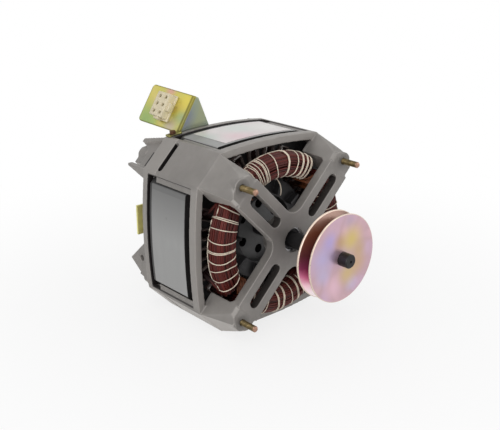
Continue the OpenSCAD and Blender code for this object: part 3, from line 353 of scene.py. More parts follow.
def cast_metal(paint, tint):
    """Cast aluminium with rims painted paler as light, edges lighter for wear and a painted highlight, and
    painted shade in creases, notches, seams, gaps, the slit and slot walls and round the bolts and hub; faces
    that face down are painted lighter as light.
    """
    fine, soft = 0.2 * MM, 0.3 * MM
    patches = paint.noise(38, 6.0, warp=0.6)
    paint.base = paint.ramp(patches, (0.28, shade(tint, 0.84)), (0.72, shade(tint, 1.08)))
    # Convex edges painted lighter, for edge wear and a painted highlight; creases painted darker, a painted
    # shade
    lit_worn_edges_and_shaded_creases = paint.add("ShaderNodeNewGeometry").outputs["Pointiness"]
    paint.over(paint.spread(lit_worn_edges_and_shaded_creases, 0.515, 0.56, 0.0, 0.6), shade(tint, 1.5))
    paint.over(paint.spread(lit_worn_edges_and_shaded_creases, 0.42, 0.49, 0.55, 0.0), shade(tint, 0.4))
    x, y, z = paint.axes()
    wide, tall = paint.maths("ABSOLUTE", x), paint.maths("ABSOLUTE", z)
    least, most = paint.maths("MINIMUM", wide, tall), paint.maths("MAXIMUM", wide, tall)
    diagonal = paint.both(paint.maths("ADD", wide, tall), math.sqrt(0.5))
    off_diagonal = paint.maths("ABSOLUTE", paint.maths("SUBTRACT", wide, tall))

    flat_edge = CORNER_FLAT - 0.5 * MM
    flat_floor = CORNER_FLAT - 9 * MM
    # Painted light: the front and rear rim bands are painted paler
    rim = paint.both(paint.within(y, *FRONT_RIM, fine),
                     paint.spread(diagonal, CORNER_FLAT - 3 * MM, flat_edge, 1, 0))
    rim = paint.either(rim, paint.within(y, PARTING, REAR_RIM[1], fine))
    paint.over(paint.both(rim, 0.85), shade(tint, 1.2))

    # Painted shade: the notch, the lip seams, the gap before the rear rim and the slit are painted near black
    notch = paint.both(paint.within(y, *NOTCH, 0.1 * MM), paint.within(diagonal, flat_floor, flat_edge, fine),
                       paint.within(off_diagonal, -1, NOTCH_HALF, fine))
    seam = paint.both(paint.within(least, *LIP_SEAM, soft),
                      paint.within(y, FRONT_RIM[1], REAR_RIM[0], 0.1 * MM),
                      paint.spread(most, *OUTER_FACE, 0, 0.9))
    rim_gap_shade = paint.both(paint.within(y, PARTING, REAR_RIM[0] + 0.3 * MM, fine),
                         paint.within(least, -1, LIP_SEAM[0], soft))
    slit = paint.both(paint.within(y, *SLIT, soft),
                      paint.within(paint.maths("SUBTRACT", tall, wide), *SLIT_RUN, 0.5 * MM),
                      paint.spread(diagonal, flat_floor, CORNER_FLAT - 8 * MM))
    paint.over(paint.either(notch, seam, rim_gap_shade, slit), srgb(34, 30, 30))

    # Painted shade on the walls of the slots in the arms
    slot = paint.both(paint.within(diagonal, *ARM_SLOT, fine),
                      paint.within(off_diagonal, -1, ARM_SLOT_HALF, soft),
                      paint.within(y, *ARM_SLOT_DEPTH, 0.8 * MM))
    paint.over(slot, srgb(60, 56, 54))
    # Painted shade: a dark ring round each bolt boss on the front faces
    folded = paint.add("ShaderNodeCombineXYZ", {"X": wide, "Z": tall}).outputs[0]
    from_bolt = paint.gap(folded, (BOLT_PLACE, 0, BOLT_PLACE))
    bolt_halo_shade = paint.both(paint.spread(from_bolt, 3 * MM, 8 * MM, 0.6, 0),
                      paint.spread(y, 1 * MM, 3 * MM, 1, 0))
    paint.over(bolt_halo_shade, shade(tint, 0.4))
    # Painted shade round the hub on the front
    paint.over(paint.both(paint.near((0, 0, 0), HUB_SHADE), 0.6), shade(tint, 0.4))
    # Painted light: faces that face down are painted lighter, as light from the floor below
    facing = paint.add("ShaderNodeNewGeometry").outputs["True Normal"]
    under = paint.within(paint.split(facing)["Z"], -0.95, -0.5, 0.2)
    paint.over(paint.both(under, 0.6), shade(tint, 2.2))

    skin = paint.bumped(paint.noise(260, 4.0), 0.12 * MM, 0.5)
    grain = paint.bumped(paint.noise(1500, 2.0), 0.03 * MM, 0.5, skin)
    paint.give(0.35, paint.spread(paint.noise(160), 0.3, 0.7, 0.4, 0.56), grain)


def lamination_steel(paint, tint, pitch):
    """The stack's steel: faint lamination lines, one dark spot, and painted shade: a darker top, the ledge
    band, dark lines beside the castings and near black end faces.
    """
    # Near black, for the painted shade below
    black = srgb(36, 35, 35)
    lines = paint.add("ShaderNodeTexWave", {
        "Vector": paint.place(), "Scale": 2 * math.pi / (20 * pitch), "Distortion": 0.4, "Detail Scale": 2.0},
        bands_direction="Y").outputs["Fac"]
    streaks = paint.noise(40, 4.0, stretch=(1, 3, 1))
    paint.base = paint.ramp(streaks, (0.3, shade(tint, 0.93)), (0.7, shade(tint, 1.05)))
    paint.over(paint.spread(lines, 0.0, 0.35, 0.05, 0.0), shade(tint, 0.45))
    x, y, z = paint.axes()
    wide, tall = paint.maths("ABSOLUTE", x), paint.maths("ABSOLUTE", z)
    # Painted shade: the outer faces grow darker towards the top, and darker on the ledge band
    ledge = paint.both(paint.within(z, *LEDGE, 0.6 * MM), paint.spread(wide, *OUTER_FACE, 0, 0.55))
    slope = paint.both(paint.spread(z, 0, 38 * MM, 0, 0.75), paint.spread(wide, *OUTER_FACE))
    # A dark spot on the left face
    dark_spot = paint.both(paint.near(DARK_SPOT, 1.7 * MM), 0.6)
    for mask in (slope, ledge, dark_spot):
        paint.over(mask, shade(tint, 0.4))
    # Painted shade: dark lines in the gaps beside the lips and before the rear rim
    shade_beside_lip = paint.within(paint.maths("MINIMUM", wide, tall), *LIP_LINE, 0.3 * MM)
    shade_at_rim = paint.within(y, STACK_BACK - 2.2 * MM, 1, 0.3 * MM)
    outer = paint.spread(paint.maths("MAXIMUM", wide, tall), *OUTER_FACE, 0, 0.9)
    paint.over(paint.both(paint.either(shade_beside_lip, shade_at_rim), outer), black)
    # Painted shade: the end faces, inside the shields, are painted near black
    inside = paint.within(y, STACK_FRONT + 0.4 * MM, STACK_BACK - 0.4 * MM, 0.05 * MM)
    paint.base = paint.mixed(inside, black, paint.base)
    paint.give(0.4, paint.spread(streaks, 0.3, 0.7, 0.38, 0.55),
               paint.bumped(lines, 0.02 * MM, 0.12, paint.soft_edge(0.5 * MM)))


def wire_enamel(paint, tint):
    """Varnished wire, each wire with its own tone, and painted shade where it enters the slots."""
    tone = paint.add("ShaderNodeAttribute", attribute_name="wire_tone").outputs["Fac"]
    paint.base = paint.ramp(tone, (0.0, shade(tint, 0.42)), (0.5, shade(tint, 0.95)), (1.0, shade(tint, 1.5)))
    varnish = paint.noise(120, 4.0)
    paint.over(paint.spread(varnish, 0.5, 0.8, 0.0, 0.5), shade(tint, 0.4))
    # Painted shade where the wires enter the slots
    shade_in_slots = paint.within(paint.axes()["Y"], STACK_FRONT - 9 * MM, STACK_BACK + 6 * MM, 4 * MM)
    paint.over(shade_in_slots, shade(tint, 0.12))
    paint.give(0, paint.spread(varnish, 0.3, 0.7, 0.4, 0.6),
               paint.bumped(paint.noise(700, 2.0), 0.05 * MM, 0.4),
               {"Specular IOR Level": 0.25, "Coat Weight": 0.08, "Coat Roughness": 0.3})


def twine_cotton(paint, tint):
    """Matt cotton with a fuzzy grain."""
    fuzz = paint.noise(900, 3.0)
    paint.base = paint.ramp(paint.noise(140, 4.0), (0.3, shade(tint, 0.72)), (0.65, shade(tint, 1.05)))
    paint.give(0, paint.spread(fuzz, 0.3, 0.7, 0.65, 0.9), paint.bumped(fuzz, 0.15 * MM, 0.7),
               {"Sheen Weight": 0.25})


def yellow_plate(paint, tint):
    """Yellow plating with clouds, dark sheet edges, a greyer gusset and painted shadow round the foot of the
    screw.
    """
    hue = paint.noise(34, 2.0, warp=0.8)
    paint.base = paint.ramp(hue, (0.3, srgb(214, 196, 130)), (0.45, tint), (0.6, srgb(196, 198, 112)),
                            (0.74, srgb(170, 190, 128)))
    paint.clouds([(BRACKET_FRAME @ (Vector(spot) * MM), *cloud) for spot, *cloud in (
        ((3, 38, 0), 22, (140, 172, 112), 0.85), ((31, 24, 0), 9, (218, 160, 160), 0.8),
        ((3, 10, 0), 11, (196, 176, 176), 0.7), ((26, 4, 0), 12, (222, 206, 90), 0.8),
        ((12, 2, 0), 9, (146, 170, 150), 0.6))])
    on_frame = paint.add("ShaderNodeMapping", {
        "Vector": paint.place(), "Location": BRACKET_FRAME.translation, "Rotation": BRACKET_FRAME.to_euler()},
        vector_type="TEXTURE").outputs["Vector"]
    u, v, w = paint.split(on_frame)
    inner = paint.both(paint.within(u, 1.2 * MM, SHEET[0] - 1.2 * MM, 0.8 * MM),
                       paint.within(v, 1.4 * MM, SHEET[1] - 1.2 * MM, 0.8 * MM))
    edge = paint.both(paint.within(w, -SHEET_HALF, SHEET_HALF, 0.2 * MM),
                      paint.maths("SUBTRACT", 0.75, paint.both(inner, 0.75)))
    paint.over(edge, srgb(104, 98, 40))
    gusset = paint.maths("SUBTRACT", 1.0, paint.within(w, -SHEET_HALF, 1, 0.4 * MM))
    pale = paint.ramp(hue, (0.35, srgb(138, 152, 142)), (0.65, srgb(150, 156, 128)))
    pale = paint.mixed(paint.near(GUSSET_MIDDLE, 17 * MM), pale, srgb(112, 116, 148))
    paint.over(gusset, pale)
    # Painted shadow round the screw's foot
    paint.over(paint.near(SCREW_SPOT, 12 * MM), srgb(70, 62, 50))
    paint.give(0.75, 0.34, paint.soft_edge(0.25 * MM))


def stud_plate(paint):
    """Dull yellow plating with a pink end on each stud, and shanks inside the motor that are duller and
    darker, partly as painted shade.
    """
    paint.base = paint.ramp(paint.noise(260, 4.0), (0.3, srgb(60, 51, 31)), (0.55, srgb(98, 84, 53)),
                            (0.75, srgb(132, 112, 80)))
    station = paint.axes()["Y"]
    pink = paint.spread(station, STUD_FRONT + 2.5 * MM, STUD_FRONT, 0.0, 0.75)
    paint.over(pink, srgb(186, 146, 128))
    # The shanks inside the motor: duller plating, darkened further as painted shade
    dull_and_shaded_shank = paint.spread(station, 2 * MM, 8 * MM, 0.0, 0.9)
    paint.over(dull_and_shaded_shank, srgb(48, 46, 42))
    paint.give(0.75, paint.spread(paint.noise(500), 0.3, 0.7, 0.26, 0.45),
               paint.bumped(paint.noise(1400, 2.0), 0.02 * MM, 0.5))


def pulley_plate(paint, tint):
    """Pink and lilac plating with blue and yellow clouds on the flat face."""
    hue = paint.noise(30, 2.0, warp=0.8)
    paint.base = paint.ramp(hue, (0.3, srgb(204, 174, 198)), (0.5, tint), (0.7, srgb(216, 178, 188)))
    paint.clouds([((x * MM, PULLEY_FRONT, z * MM), *cloud) for (x, z), *cloud in (
        ((-20, 5), 17, (184, 172, 208), 0.9), ((-14, 16), 11, (178, 162, 206), 0.9),
        ((-20, -8), 12, (190, 178, 208), 0.8), ((10, -22), 9, (198, 182, 208), 0.8),
        ((-8, -20), 14, (226, 188, 202), 0.8), ((7, 28), 11, (182, 160, 178), 0.8),
        ((-3, 13), 10, (184, 148, 120), 0.85), ((9, 12.5), 16, (210, 186, 116), 0.95),
        ((17, 2), 12, (196, 166, 128), 0.85), ((16, -8), 13, (202, 168, 132), 0.85),
        ((6, -13), 14, (206, 180, 128), 0.9))])
    paint.give(0.72, 0.34)


def groove_plate(paint):
    """The darker plating of the belt groove, from orange to maroon and magenta, laid by height, with a
    painted reflection that pales to near white at the bottom.
    """
    ripple = paint.spread(paint.noise(60), 0, 1, -6 * MM, 6 * MM)
    wavy = paint.maths("ADD", paint.axes()["Z"], ripple)
    # Plating colours laid by height, with a painted reflection, pink to near white, at the bottom
    paint.base = paint.ramp(
        paint.spread(wavy, -33 * MM, 33 * MM),
        (0.12, srgb(255, 242, 244)), (0.24, srgb(248, 208, 218)), (0.34, srgb(208, 118, 152)),
        (0.44, srgb(140, 56, 92)), (0.58, srgb(106, 54, 58)), (0.7, srgb(112, 62, 52)),
        (0.83, srgb(122, 72, 52)), (0.95, srgb(146, 116, 104)))
    paint.give(0.5, 0.31)


def rotor_steel(paint):
    """Plain steel on the two faces of the core; between them, in its holes and on its side, painted shade
    near black.
    """
    patches = paint.noise(90, 6.0)
    paint.base = paint.ramp(patches, (0.3, srgb(88, 88, 88)), (0.7, srgb(98, 98, 98)))
    # Painted shade: all but the two faces, inside the stator, near black
    inside = paint.within(paint.axes()["Y"], CORE_FRONT + 0.4 * MM, CORE_BACK - 0.4 * MM, 0.1 * MM)
    paint.over(inside, srgb(16, 16, 16))
    paint.give(0.4, paint.spread(patches, 0.3, 0.7, 0.38, 0.52), paint.soft_edge(0.3 * MM))


def label_foil(paint, tint):
    """Blank pale foil with faint green and pink clouds."""
    paint.base = paint.ramp(paint.noise(34, 2.0), (0.35, tint), (0.7, shade(tint, 1.04)))
    paint.clouds([(mm(x, y) + (LABEL_TOP,), *cloud) for (x, y), *cloud in (
        ((-33, 66), 20, (196, 206, 198), 0.9), ((-12, 50), 20, (232, 202, 208), 0.8),
        ((4, 70), 22, (214, 222, 216), 0.8), ((26, 60), 22, (234, 234, 230), 0.8))])
    paint.give(0.15, paint.spread(paint.noise(200), 0.3, 0.7, 0.3, 0.42),
               paint.bumped(paint.noise(140, 3.0), 0.06 * MM, 0.4))


def floor_paint(paint, tint, low):
    """Matt floor paint, shown near white and a little greyer under the motor for its shadow."""
    paint.base = paint.ramp(paint.noise(3, 2.0), (0.3, shade(tint, 0.99)), (0.7, tint))
    paint.give(0, 0.9, None, {"Specular IOR Level": 0.1})
    white = paint.spread(paint.near((0, 0.04, low), 0.45), 0, 1, 1.0, 0.78)
    glow = paint.add("ShaderNodeEmission", {"Color": (1, 1, 1), "Strength": 1.0})
    mix = paint.add("ShaderNodeMixShader", {
        0: paint.both(paint.seen_rays(), white), 1: paint.shader.outputs[0], 2: glow.outputs[0]})
    paint.plug(mix.outputs[0], paint.tree.nodes["Material Output"].inputs["Surface"])


# Mesh helpers

FLAT = np.array([1, 0, 1])


def new_piece(name, mesh, materials, body, replaced=()):
    for material in materials:
        mesh.materials.append(material)
    piece = bpy.data.objects.new(name, mesh)
    bpy.context.scene.collection.objects.link(piece)
    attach(piece, body)
    if replaced:
        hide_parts(*replaced)
    return piece


def dress(material, *names):
    """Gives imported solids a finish, in place of their plain colour."""
    for name in names:
        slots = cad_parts[name].data.materials
        slots.clear()
        slots.append(material)


def mesh_from(name, verts, faces, sharp=None):
    mesh = bpy.data.meshes.new(name)
    mesh.from_pydata([tuple(v) for v in verts], [], [tuple(f) for f in faces])
    mesh.shade_smooth()
    if sharp:
        mesh.set_sharp_from_angle(angle=math.radians(sharp))
    mesh.update()
    return mesh


class Gathered:
    """Points and faces of many skins, gathered into one mesh."""

    def __init__(self):
        self.verts = []
        self.faces = []
        self.tones = []
        self.count = 0

    def take(self, verts, faces, tone=0.5):
        self.verts.append(np.asarray(verts, float))
        self.faces.extend([[i + self.count for i in face] for face in faces])
        self.tones.extend([tone] * len(verts))
        self.count += len(verts)

    def mesh(self, name, sharp=None):
        made = mesh_from(name, np.concatenate(self.verts), self.faces, sharp)
        tone = made.attributes.new("wire_tone", "FLOAT", "POINT")
        tone.data.foreach_set("value", np.array(self.tones, np.float32))
        return made


def unit(rows):
    return rows / np.maximum(np.linalg.norm(rows, axis=-1, keepdims=True), 1e-12)


def skin_faces(rows, sides, closed=False):
    """Faces between rings of points, joined end to end or with both ends capped."""
    faces = []
    for i in range(rows if closed else rows - 1):
        j = (i + 1) % rows
        for k in range(sides):
            m = (k + 1) % sides
            faces.append([i * sides + k, j * sides + k, j * sides + m, i * sides + m])
    if not closed:
        faces.append(list(range(sides)))
        faces.append(list(range((rows - 1) * sides, rows * sides))[::-1])
    return faces


def sweep(path, ref, section, closed=False):
    """A skin of one section along a path; ref gives each point a direction across it."""
    path = np.asarray(path, float)
    run = np.roll(path, -1, 0) - np.roll(path, 1, 0) if closed else np.gradient(path, axis=0)
    run = unit(run)
    side = unit(np.cross(run, np.broadcast_to(ref, path.shape)))
    across = np.cross(side, run)
    section = np.asarray(section, float)
    if section.ndim == 2:
        section = np.broadcast_to(section, (len(path), *section.shape))
    rings = path[:, None] + section[..., 0, None] * across[:, None] + section[..., 1, None] * side[:, None]
    return rings.reshape(-1, 3), skin_faces(section.shape[0], section.shape[1], closed)


def disc(radius, sides):
    turn = np.arange(sides) * 2 * math.pi / sides
    return np.stack((radius * np.cos(turn), radius * np.sin(turn)), -1)


def carried(path):
    """Directions across a free path, carried along it without twist."""
    run = unit(np.gradient(np.asarray(path, float), axis=0))
    refs = [np.array(Vector(run[0]).orthogonal().normalized())]
    for t in run[1:]:
        r = refs[-1] - t * np.dot(refs[-1], t)
        refs.append(r / np.linalg.norm(r))
    return np.array(refs)


def bezier(a, b, c, d, steps):
    t = np.linspace(0, 1, steps)[:, None]
    a, b, c, d = (np.asarray(p, float) for p in (a, b, c, d))
    return (1 - t) ** 3 * a + 3 * (1 - t) ** 2 * t * b + 3 * (1 - t) * t * t * c + t ** 3 * d


def filleted(points, radii, steps=4):
    """A line of (radius, station) points with its corners rounded."""
    made = [points[0]]
    for before, corner, after, r in zip(points, points[1:], points[2:], radii):
        corner, before, after = Vector(corner), Vector(before), Vector(after)
        if r <= 0:
            made.append(tuple(corner))
            continue
        a = corner + (before - corner).normalized() * r
        b = corner + (after - corner).normalized() * r
        for i in range(steps + 1):
            t = i / steps
            made.append(tuple((1 - t) ** 2 * a + 2 * (1 - t) * t * corner + t * t * b))
    made.append(points[-1])
    return made


def turned(profile, steps):
    """A closed profile of (radius, station) points turned about the shaft axis."""
    angles = np.arange(steps) * 2 * math.pi / steps
    verts = [(r * math.cos(a), y, r * math.sin(a)) for a in angles for r, y in profile]
    return verts, skin_faces(steps, len(profile), True)


def lofted(x, z, rings):
    """A capped skin about a line along the motor; a ring is a station and a radius for each side."""
    sides = len(rings[0][1])
    verts = []
    for y, radii in rings:
        for k, r in enumerate(radii):
            a = 2 * math.pi * k / sides
            verts.append((x + r * math.cos(a), y, z + r * math.sin(a)))
    return verts, skin_faces(len(rings), sides)


def drafted(name, mesh):
    """An object that stands in the scene only while its modifiers work."""
    draft = bpy.data.objects.new(name, mesh)
    bpy.context.scene.collection.objects.link(draft)
    return draft


def worked(draft, *tools):
    """The mesh that a draft's modifiers give; the draft and its tools are then removed."""
    depsgraph = bpy.context.evaluated_depsgraph_get()
    made = bpy.data.meshes.new_from_object(draft.evaluated_get(depsgraph))
    for used in (draft, *tools):
        bpy.data.objects.remove(used)
    made.shade_smooth()
    return made


def softened(node, suffix, voxel, material, rounds, keep):
    """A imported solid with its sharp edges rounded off, as a casting's are."""
    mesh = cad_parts[node].data.copy()
    shape = bmesh.new()
    shape.from_mesh(mesh)
    bmesh.ops.remove_doubles(shape, verts=shape.verts, dist=1e-6)
    shape.to_mesh(mesh)
    shape.free()
    mesh.materials.clear()
    draft = drafted("draft", mesh)
    remesh = draft.modifiers.new("voxels", "REMESH")
    remesh.mode = "VOXEL"
    remesh.voxel_size = voxel * 1
    smooth = draft.modifiers.new("rounding", "SMOOTH")
    smooth.factor = 0.5
    smooth.iterations = rounds
    draft.modifiers.new("thinning", "DECIMATE").ratio = keep
    new_piece(node + suffix, worked(draft), [material], "stator", [node])


# Main windings: steps of an arch, powers that square off its curves, slot and arch angles in degrees

ARCH_STEPS = 24
ARCH_POWER = 0.31
SPREAD_POWER = 0.6
LAYER_POWER = 0.8
OUTER_SLOT = 37.5
INNER_SLOT = 22.5
OUTER_ARCH = 41.0
INNER_ARCH = 38.0
SLOT_MIDDLE = 58 * MM
SLOT_SPREAD = 2.9 * MM
SLOT_SHARE = 0.62
ARCH_HASTE = 1.6
LAYERS = ((46, 1.0, 0.35 * MM), (30, 0.83, 0.6 * MM))  # wires, share of the bundle's size, sway
CORE_STEPS = 18
CORE_ENDS = (0.14 * math.pi, 0.86 * math.pi)
CORE_ARCH = 34
CORE_SHARE = 0.72

# Start windings: wires of a coil, half angle, and sizes of its first wire with their change to the last
START_WIRES = 30
START_HALF = 7.5
START_SLOT = (48.6, -3.6)
START_ARCH = (55.2, -3.4)
START_FRONT = (22.2, 6.0)
START_REAR = (19.1, 3.2)

# Lacing: angles in degrees from the coil's middle
HULL_POINTS = 25
TWINE_SIDES = 6
TWINE_REACH = 32.0
TURN_GAPS = (5.4, 9.4)
LEAN = 3.0
NO_LEAN = 36
DOUBLED = 0.45
DOUBLE_GAP = 1.15
CLOSE_START = 13
CLOSE_TURNS = (16.5, 18.6, 20.4, 22.3, 24.4, 26.6, 28.9)
TAIL = (mm(-2, 24, 47), mm(1, 19, 43), mm(4, 18, 38), mm(1, 17, 31))


def shaped(values, power=ARCH_POWER):
    return np.sign(values) * np.abs(values) ** power


def polar(degrees, radius, station):
    turn = np.radians(degrees)
    return np.stack(np.broadcast_arrays(radius * np.cos(turn), station, radius * np.sin(turn)), -1)


def loop_run():
    """Round a wire loop: its turn, whether each point is in front, and its lift and rise from the stack."""
    th = np.concatenate((np.linspace(0, math.pi, ARCH_STEPS), np.linspace(math.pi, 2 * math.pi, ARCH_STEPS)))
    front = np.arange(2 * ARCH_STEPS) < ARCH_STEPS
    lift = np.abs(np.sin(th))
    return th, front, lift, shaped(lift)


def wire_loop(across, ahead, slot_side, sway, sizes):
    """A closed wire loop: front arch, slot, rear arch and the slot back.
    Gives each point's angle from the pole, radius and station."""
    th, front, lift, rise = loop_run()
    depth = ahead / sizes.bundle_depth
    slot = OUTER_SLOT if depth > 0 else INNER_SLOT
    arch = INNER_ARCH + (OUTER_ARCH - INNER_ARCH) * (depth + 1) / 2
    across = across + rise * sway[0] * np.sin(sway[1] * th + sway[2])
    ahead = ahead + rise * sway[0] * np.sin(sway[3] * th + sway[4])
    angle = (slot + (arch - slot) * np.minimum(1, ARCH_HASTE * lift)) * shaped(np.cos(th), SPREAD_POWER)
    angle = angle + (1 - rise) * math.degrees(slot_side / SLOT_MIDDLE)
    slot_r = SLOT_MIDDLE + SLOT_SHARE * across
    radius = slot_r + (sizes.bundle_radius + across - slot_r) * rise
    station = np.where(front, STACK_FRONT - (sizes.front_rise + ahead) * rise,
                       STACK_BACK + (sizes.rear_rise + ahead) * rise)
    return np.stack((angle, radius, station), -1)


def bundle_loops(sizes, rng):
    """The wires of one main coil: an outer layer, a looser one inside it."""
    loops = []
    for count, share, sway in LAYERS:
        for i in range(count):
            turn = 2 * math.pi * (i + rng.uniform(-0.25, 0.25)) / count
            across = share * sizes.bundle_width * float(shaped(math.cos(turn), LAYER_POWER))
            ahead = share * sizes.bundle_depth * float(shaped(math.sin(turn), LAYER_POWER))
            wander = (sway, rng.choice((2, 3, 4)), rng.uniform(0, 6.28),
                      rng.choice((2, 3, 5)), rng.uniform(0, 6.28))
            slot_side = rng.uniform(-SLOT_SPREAD, SLOT_SPREAD)
            loops.append(wire_loop(across, ahead, slot_side, wander, sizes))
    return loops


def core_skin(pole, front, sizes):
    """The inside of a bundle, hidden by its wires; it takes the darkest wire tone, painted shade between the
    wires.
    """
    th = np.linspace(*CORE_ENDS, CORE_STEPS)
    rise = shaped(np.sin(th))
    station = STACK_FRONT - sizes.front_rise * rise if front else STACK_BACK + sizes.rear_rise * rise
    path = polar(pole + CORE_ARCH * shaped(np.cos(th), SPREAD_POWER), sizes.bundle_radius, station)
    section = disc(1, 12) * np.array([CORE_SHARE * sizes.bundle_width, CORE_SHARE * sizes.bundle_depth])
    taper = np.clip(np.sin(np.linspace(0, math.pi, CORE_STEPS)) * 3, 0.35, 1)
    return sweep(path, unit(path * FLAT), section[None] * taper[:, None, None])


def hull_at(loops, degrees, front, clear):
    """The outline round a bundle at an angle, as (radius, station) points, pushed out by clear."""
    spots = []
    for loop in loops:
        half = loop[:ARCH_STEPS][::-1] if front else loop[ARCH_STEPS:]
        if half[0, 0] < degrees < half[-1, 0]:
            spots.append([np.interp(degrees, half[:, 0], half[:, c]) for c in (1, 2)])
    ring = np.array([spots[i] for i in geometry.convex_hull_2d([Vector(s) for s in spots])])
    middle = ring.mean(0)
    ring = ring + unit(ring - middle) * clear
    outward = (ring[:, 0] - middle[0]) + 0.7 * (ring[:, 1] - middle[1]) * (1 if front else -1)
    ring = np.roll(ring, -int(np.argmax(outward)), 0)
    ring = np.concatenate((ring, ring[:1]))
    run = np.concatenate(([0], np.cumsum(np.linalg.norm(np.diff(ring, axis=0), axis=1))))
    even = np.linspace(0, run[-1], HULL_POINTS)
    return np.stack((np.interp(even, run, ring[:, 0]), np.interp(even, run, ring[:, 1])), -1)


def lace(loops, pole, turns, front, clear):
    """One twine path that takes each turn round the bundle and runs on along its outer edge."""
    path = []
    last = None
    for degrees, lean in turns:
        if last is not None:
            for between in np.linspace(last, degrees, 4)[1:-1]:
                r, y = hull_at(loops, between, front, clear)[0]
                path.append(polar(pole + between, r, y))
        ring = hull_at(loops, degrees, front, clear)
        angles = pole + degrees + lean * np.sin(np.linspace(0, 2 * math.pi, len(ring)))
        path.extend(polar(angles, ring[:, 0], ring[:, 1]))
        last = degrees
    return np.array(path)


class MOTOR_OT_end_shields(bpy.types.Operator):
    """Rounds the edges of the two cast end shields"""
    bl_idname = "motor.end_shields"
    bl_label = "End shields"

    def execute(self, context):
        metal = finish("cast_aluminium", cast_metal, context.scene.motor_colours.cast)
        voxel = context.scene.motor_sizes.cast_round
        for node in ("front_end_shield", "rear_end_shield"):
            softened(node, "_casting", voxel, metal, rounds=4, keep=0.22)
        return {"FINISHED"}


class MOTOR_OT_stack(bpy.types.Operator):
    """Gives the stack its laminations and the slots their rolled liners"""
    bl_idname = "motor.stack"
    bl_label = "Stack and liners"

    def execute(self, context):
        sizes, colours = context.scene.motor_sizes, context.scene.motor_colours
        dress(finish("lamination_steel", lamination_steel, colours.steel, sizes.lamination), "stator_stack")
        dress(plain("liner_film", colours.liner), "slot_liners")
        half, outer, inner, corner, stand_out = mm(4.05, 65.6, 46, 1.4, 2.6)
        line = filleted([(inner, -half), (outer, -half), (outer, half), (inner, half)], (corner, corner))
        section = disc(sizes.bead, 8) * np.array([2.2, 1])
        beads = Gathered()
        for i in range(SLOT_COUNT):
            turn = math.radians(7.5 + 15 * i)
            out = np.array([math.cos(turn), 0, math.sin(turn)])
            side = np.array([-math.sin(turn), 0, math.cos(turn)])
            for station in (STACK_FRONT - stand_out, STACK_BACK + stand_out):
                path = np.array([out * r + side * t + np.array([0, station, 0]) for r, t in line])
                beads.take(*sweep(path, (0, 1, 0), section))
        new_piece("slot_liner_beads", beads.mesh("slot_liner_beads", 50), [plain("liner_bead")],
                  "stator")
        return {"FINISHED"}


class MOTOR_OT_main_windings(bpy.types.Operator):
    """Winds the four main coils wire by wire and laces them with twine"""
    bl_idname = "motor.main_windings"
    bl_label = "Main windings and lacing"

    def execute(self, context):
        sizes = context.scene.motor_sizes
        enamel = finish("enamel_wire", wire_enamel, context.scene.motor_colours.enamel)
        cotton = finish("lacing_twine", twine_cotton, context.scene.motor_colours.twine)
        wire = disc(sizes.wire_radius, 6)
        cord = disc(sizes.twine, TWINE_SIDES)
        clear = sizes.wire_radius + 0.6 * sizes.twine
        for name, pole in POLES.items():
            rng = random.Random(pole + 11)
            loops = bundle_loops(sizes, rng)
            coil = Gathered()
            for loop in loops:
                path = polar(pole + loop[:, 0], loop[:, 1], loop[:, 2])
                coil.take(*sweep(path, unit(path * FLAT), wire, True), tone=rng.random())
            # The cores take the darkest tone: painted shade between the wires
            for front in (True, False):
                coil.take(*core_skin(pole, front, sizes), tone=0.0)
            new_piece("main_coil_" + name, coil.mesh("main_coil_" + name), [enamel], "stator",
                      ["main_winding_" + name])
            twine = Gathered()
            for front in (True, False):
                path = lace(loops, pole, self.turns(name, front, rng), front, clear)
                twine.take(*sweep(path, unit(np.cross(path * FLAT, (0, 1, 0))), cord))
            if name == "top":
                tail = bezier(*TAIL, 14)
                twine.take(*sweep(tail, carried(tail), cord))
            new_piece("lacing_" + name, twine.mesh("lacing_" + name), [cotton], "stator",
                      ["lacing_cord_" + name])
        return {"FINISHED"}

    @staticmethod
    def turns(name, front, rng):
        """Angles and leans of the twine's turns, some of them doubled."""
        made = []
        spot = -TWINE_REACH
        while spot < TWINE_REACH + 0.5:
            lean = rng.uniform(-LEAN, LEAN) * (1 - (spot / NO_LEAN) ** 2)
            made.append((spot, lean))
            if rng.random() < DOUBLED:
                made.append((spot + DOUBLE_GAP, lean + rng.uniform(-0.4, 0.4)))
            spot += rng.uniform(*TURN_GAPS)
        if name == "top" and front:
            made = [(s, w) for s, w in made if s < CLOSE_START]
            made += [(s, 0.8 * math.sin(s)) for s in CLOSE_TURNS]
        return sorted(made)


class MOTOR_OT_start_windings(bpy.types.Operator):
    """Winds the four start coils wire by wire"""
    bl_idname = "motor.start_windings"
    bl_label = "Start windings"

    def execute(self, context):
        enamel = finish("start_wire", wire_enamel, context.scene.motor_colours.start_enamel)
        wire = disc(context.scene.motor_sizes.start_wire, 5)
        th, front, lift, rise = loop_run()
        lean = np.maximum(0, (lift - 0.7) / 0.3)
        for name, pole in START_POLES.items():
            rng = random.Random(pole)
            coil = Gathered()
            for i in range(START_WIRES):
                layer = (i + 0.5) / START_WIRES
                slot_r, arch_r, drop, rear = (
                    (first + change * layer) * MM
                    for first, change in (START_SLOT, START_ARCH, START_FRONT, START_REAR))
                aside, ahead = rng.uniform(-2.6, 2.6) * MM, rng.uniform(-1.9, 1.9) * MM
                slot_r, arch_r = slot_r + 0.4 * aside, arch_r + aside
                radius = slot_r + (arch_r - slot_r) * lean
                station = np.where(front, STACK_FRONT - (drop + ahead * lean) * rise,
                                   STACK_BACK + (rear + ahead * lean) * rise)
                wide = START_HALF + rng.uniform(-1.6, 1.6)
                path = polar(pole + wide * np.sign(np.cos(th)) * np.abs(np.cos(th)) ** 1.1, radius, station)
                coil.take(*sweep(path, unit(path * FLAT), wire, True), tone=rng.random())
            new_piece(name + "_coil", coil.mesh(name + "_coil"), [enamel], "stator", [name])
        return {"FINISHED"}


